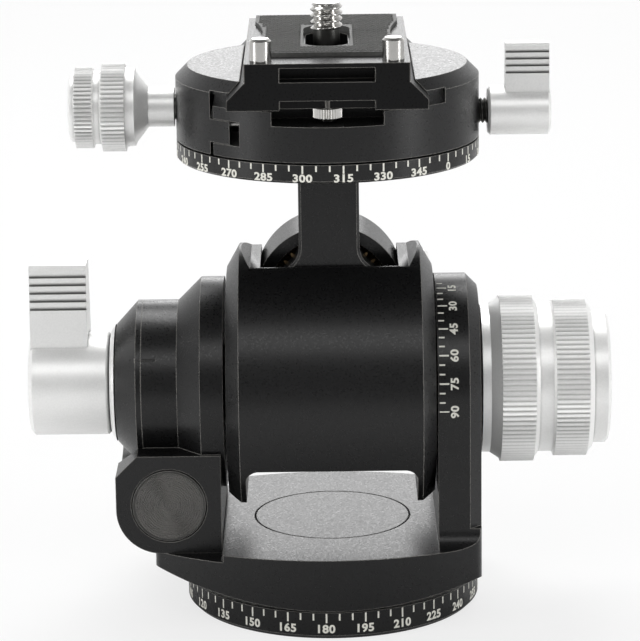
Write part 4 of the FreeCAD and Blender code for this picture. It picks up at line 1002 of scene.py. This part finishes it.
class HEAD_OT_stage(bpy.types.Operator):
    """Floor, card, lamps, room light and the camera of the photograph"""
    bl_idname = "head.stage"
    bl_label = "Stage"

    def execute(self, context):
        stage = context.scene.head_stage
        floor = floor_material()
        card = card_material()
        flat_sheet("floor", [(-FLOOR_HALF, -FLOOR_HALF, 0.0), (FLOOR_HALF, -FLOOR_HALF, 0.0),
                             (FLOOR_HALF, FLOOR_HALF, 0.0), (-FLOOR_HALF, FLOOR_HALF, 0.0)], floor)
        flat_sheet("card", [(-CARD_HALF, CARD_Y, 0.0), (CARD_HALF, CARD_Y, 0.0),
                            (CARD_HALF, CARD_Y, CARD_HEIGHT), (-CARD_HALF, CARD_Y, CARD_HEIGHT)], card)
        softbox("top_lamp", TOP_LAMP, stage.key_power)
        softbox("left_strip", LEFT_STRIP, stage.side_power)
        softbox("back_lamp", BACK_LAMP, stage.back_power)
        softbox("floor_lamp", FLOOR_LAMP, stage.floor_power)
        softbox("right_strip", RIGHT_STRIP, stage.side_power)
        context.scene.world = white_world(stage.surround)
        context.scene.view_settings.view_transform = "Standard"
        photo_camera()
        return {"FINISHED"}


OPERATORS = (HEAD_OT_finishes, HEAD_OT_smooth_skins, HEAD_OT_base_scale, HEAD_OT_top_scale,
             HEAD_OT_tilt_scale, HEAD_OT_camera_screw, HEAD_OT_lever_stud, HEAD_OT_pad_weave,
             HEAD_OT_stage)
SETTINGS = (
    ("head_scales", ScaleSettings),
    ("head_threads", ThreadSettings),
    ("head_pad", PadSettings),
    ("head_finish", FinishSettings),
    ("head_stage", StageSettings),
)


class HEAD_PT_panel(bpy.types.Panel):
    """The head's pieces, in the order in which they are made"""
    bl_idname = "HEAD_PT_panel"
    bl_label = "Tripod Head"
    bl_space_type = "VIEW_3D"
    bl_region_type = "UI"
    bl_category = "Tripod Head"

    def draw(self, context):
        for operator in OPERATORS:
            self.layout.operator(operator.bl_idname)


def register():
    for name, group in SETTINGS:
        bpy.utils.register_class(group)
        setattr(bpy.types.Scene, name, PointerProperty(type=group))
    for operator in OPERATORS:
        bpy.utils.register_class(operator)
    bpy.utils.register_class(HEAD_PT_panel)


def unregister():
    bpy.utils.unregister_class(HEAD_PT_panel)
    for operator in reversed(OPERATORS):
        bpy.utils.unregister_class(operator)
    for name, group in reversed(SETTINGS):
        delattr(bpy.types.Scene, name)
        bpy.utils.unregister_class(group)


def main():
    register()
    bpy.ops.head.finishes()
    bpy.ops.head.smooth_skins()
    bpy.ops.head.base_scale()
    bpy.ops.head.top_scale()
    bpy.ops.head.tilt_scale()
    bpy.ops.head.camera_screw()
    bpy.ops.head.lever_stud()
    bpy.ops.head.pad_weave()
    bpy.ops.head.stage()


if __name__ == "__main__":
    main()
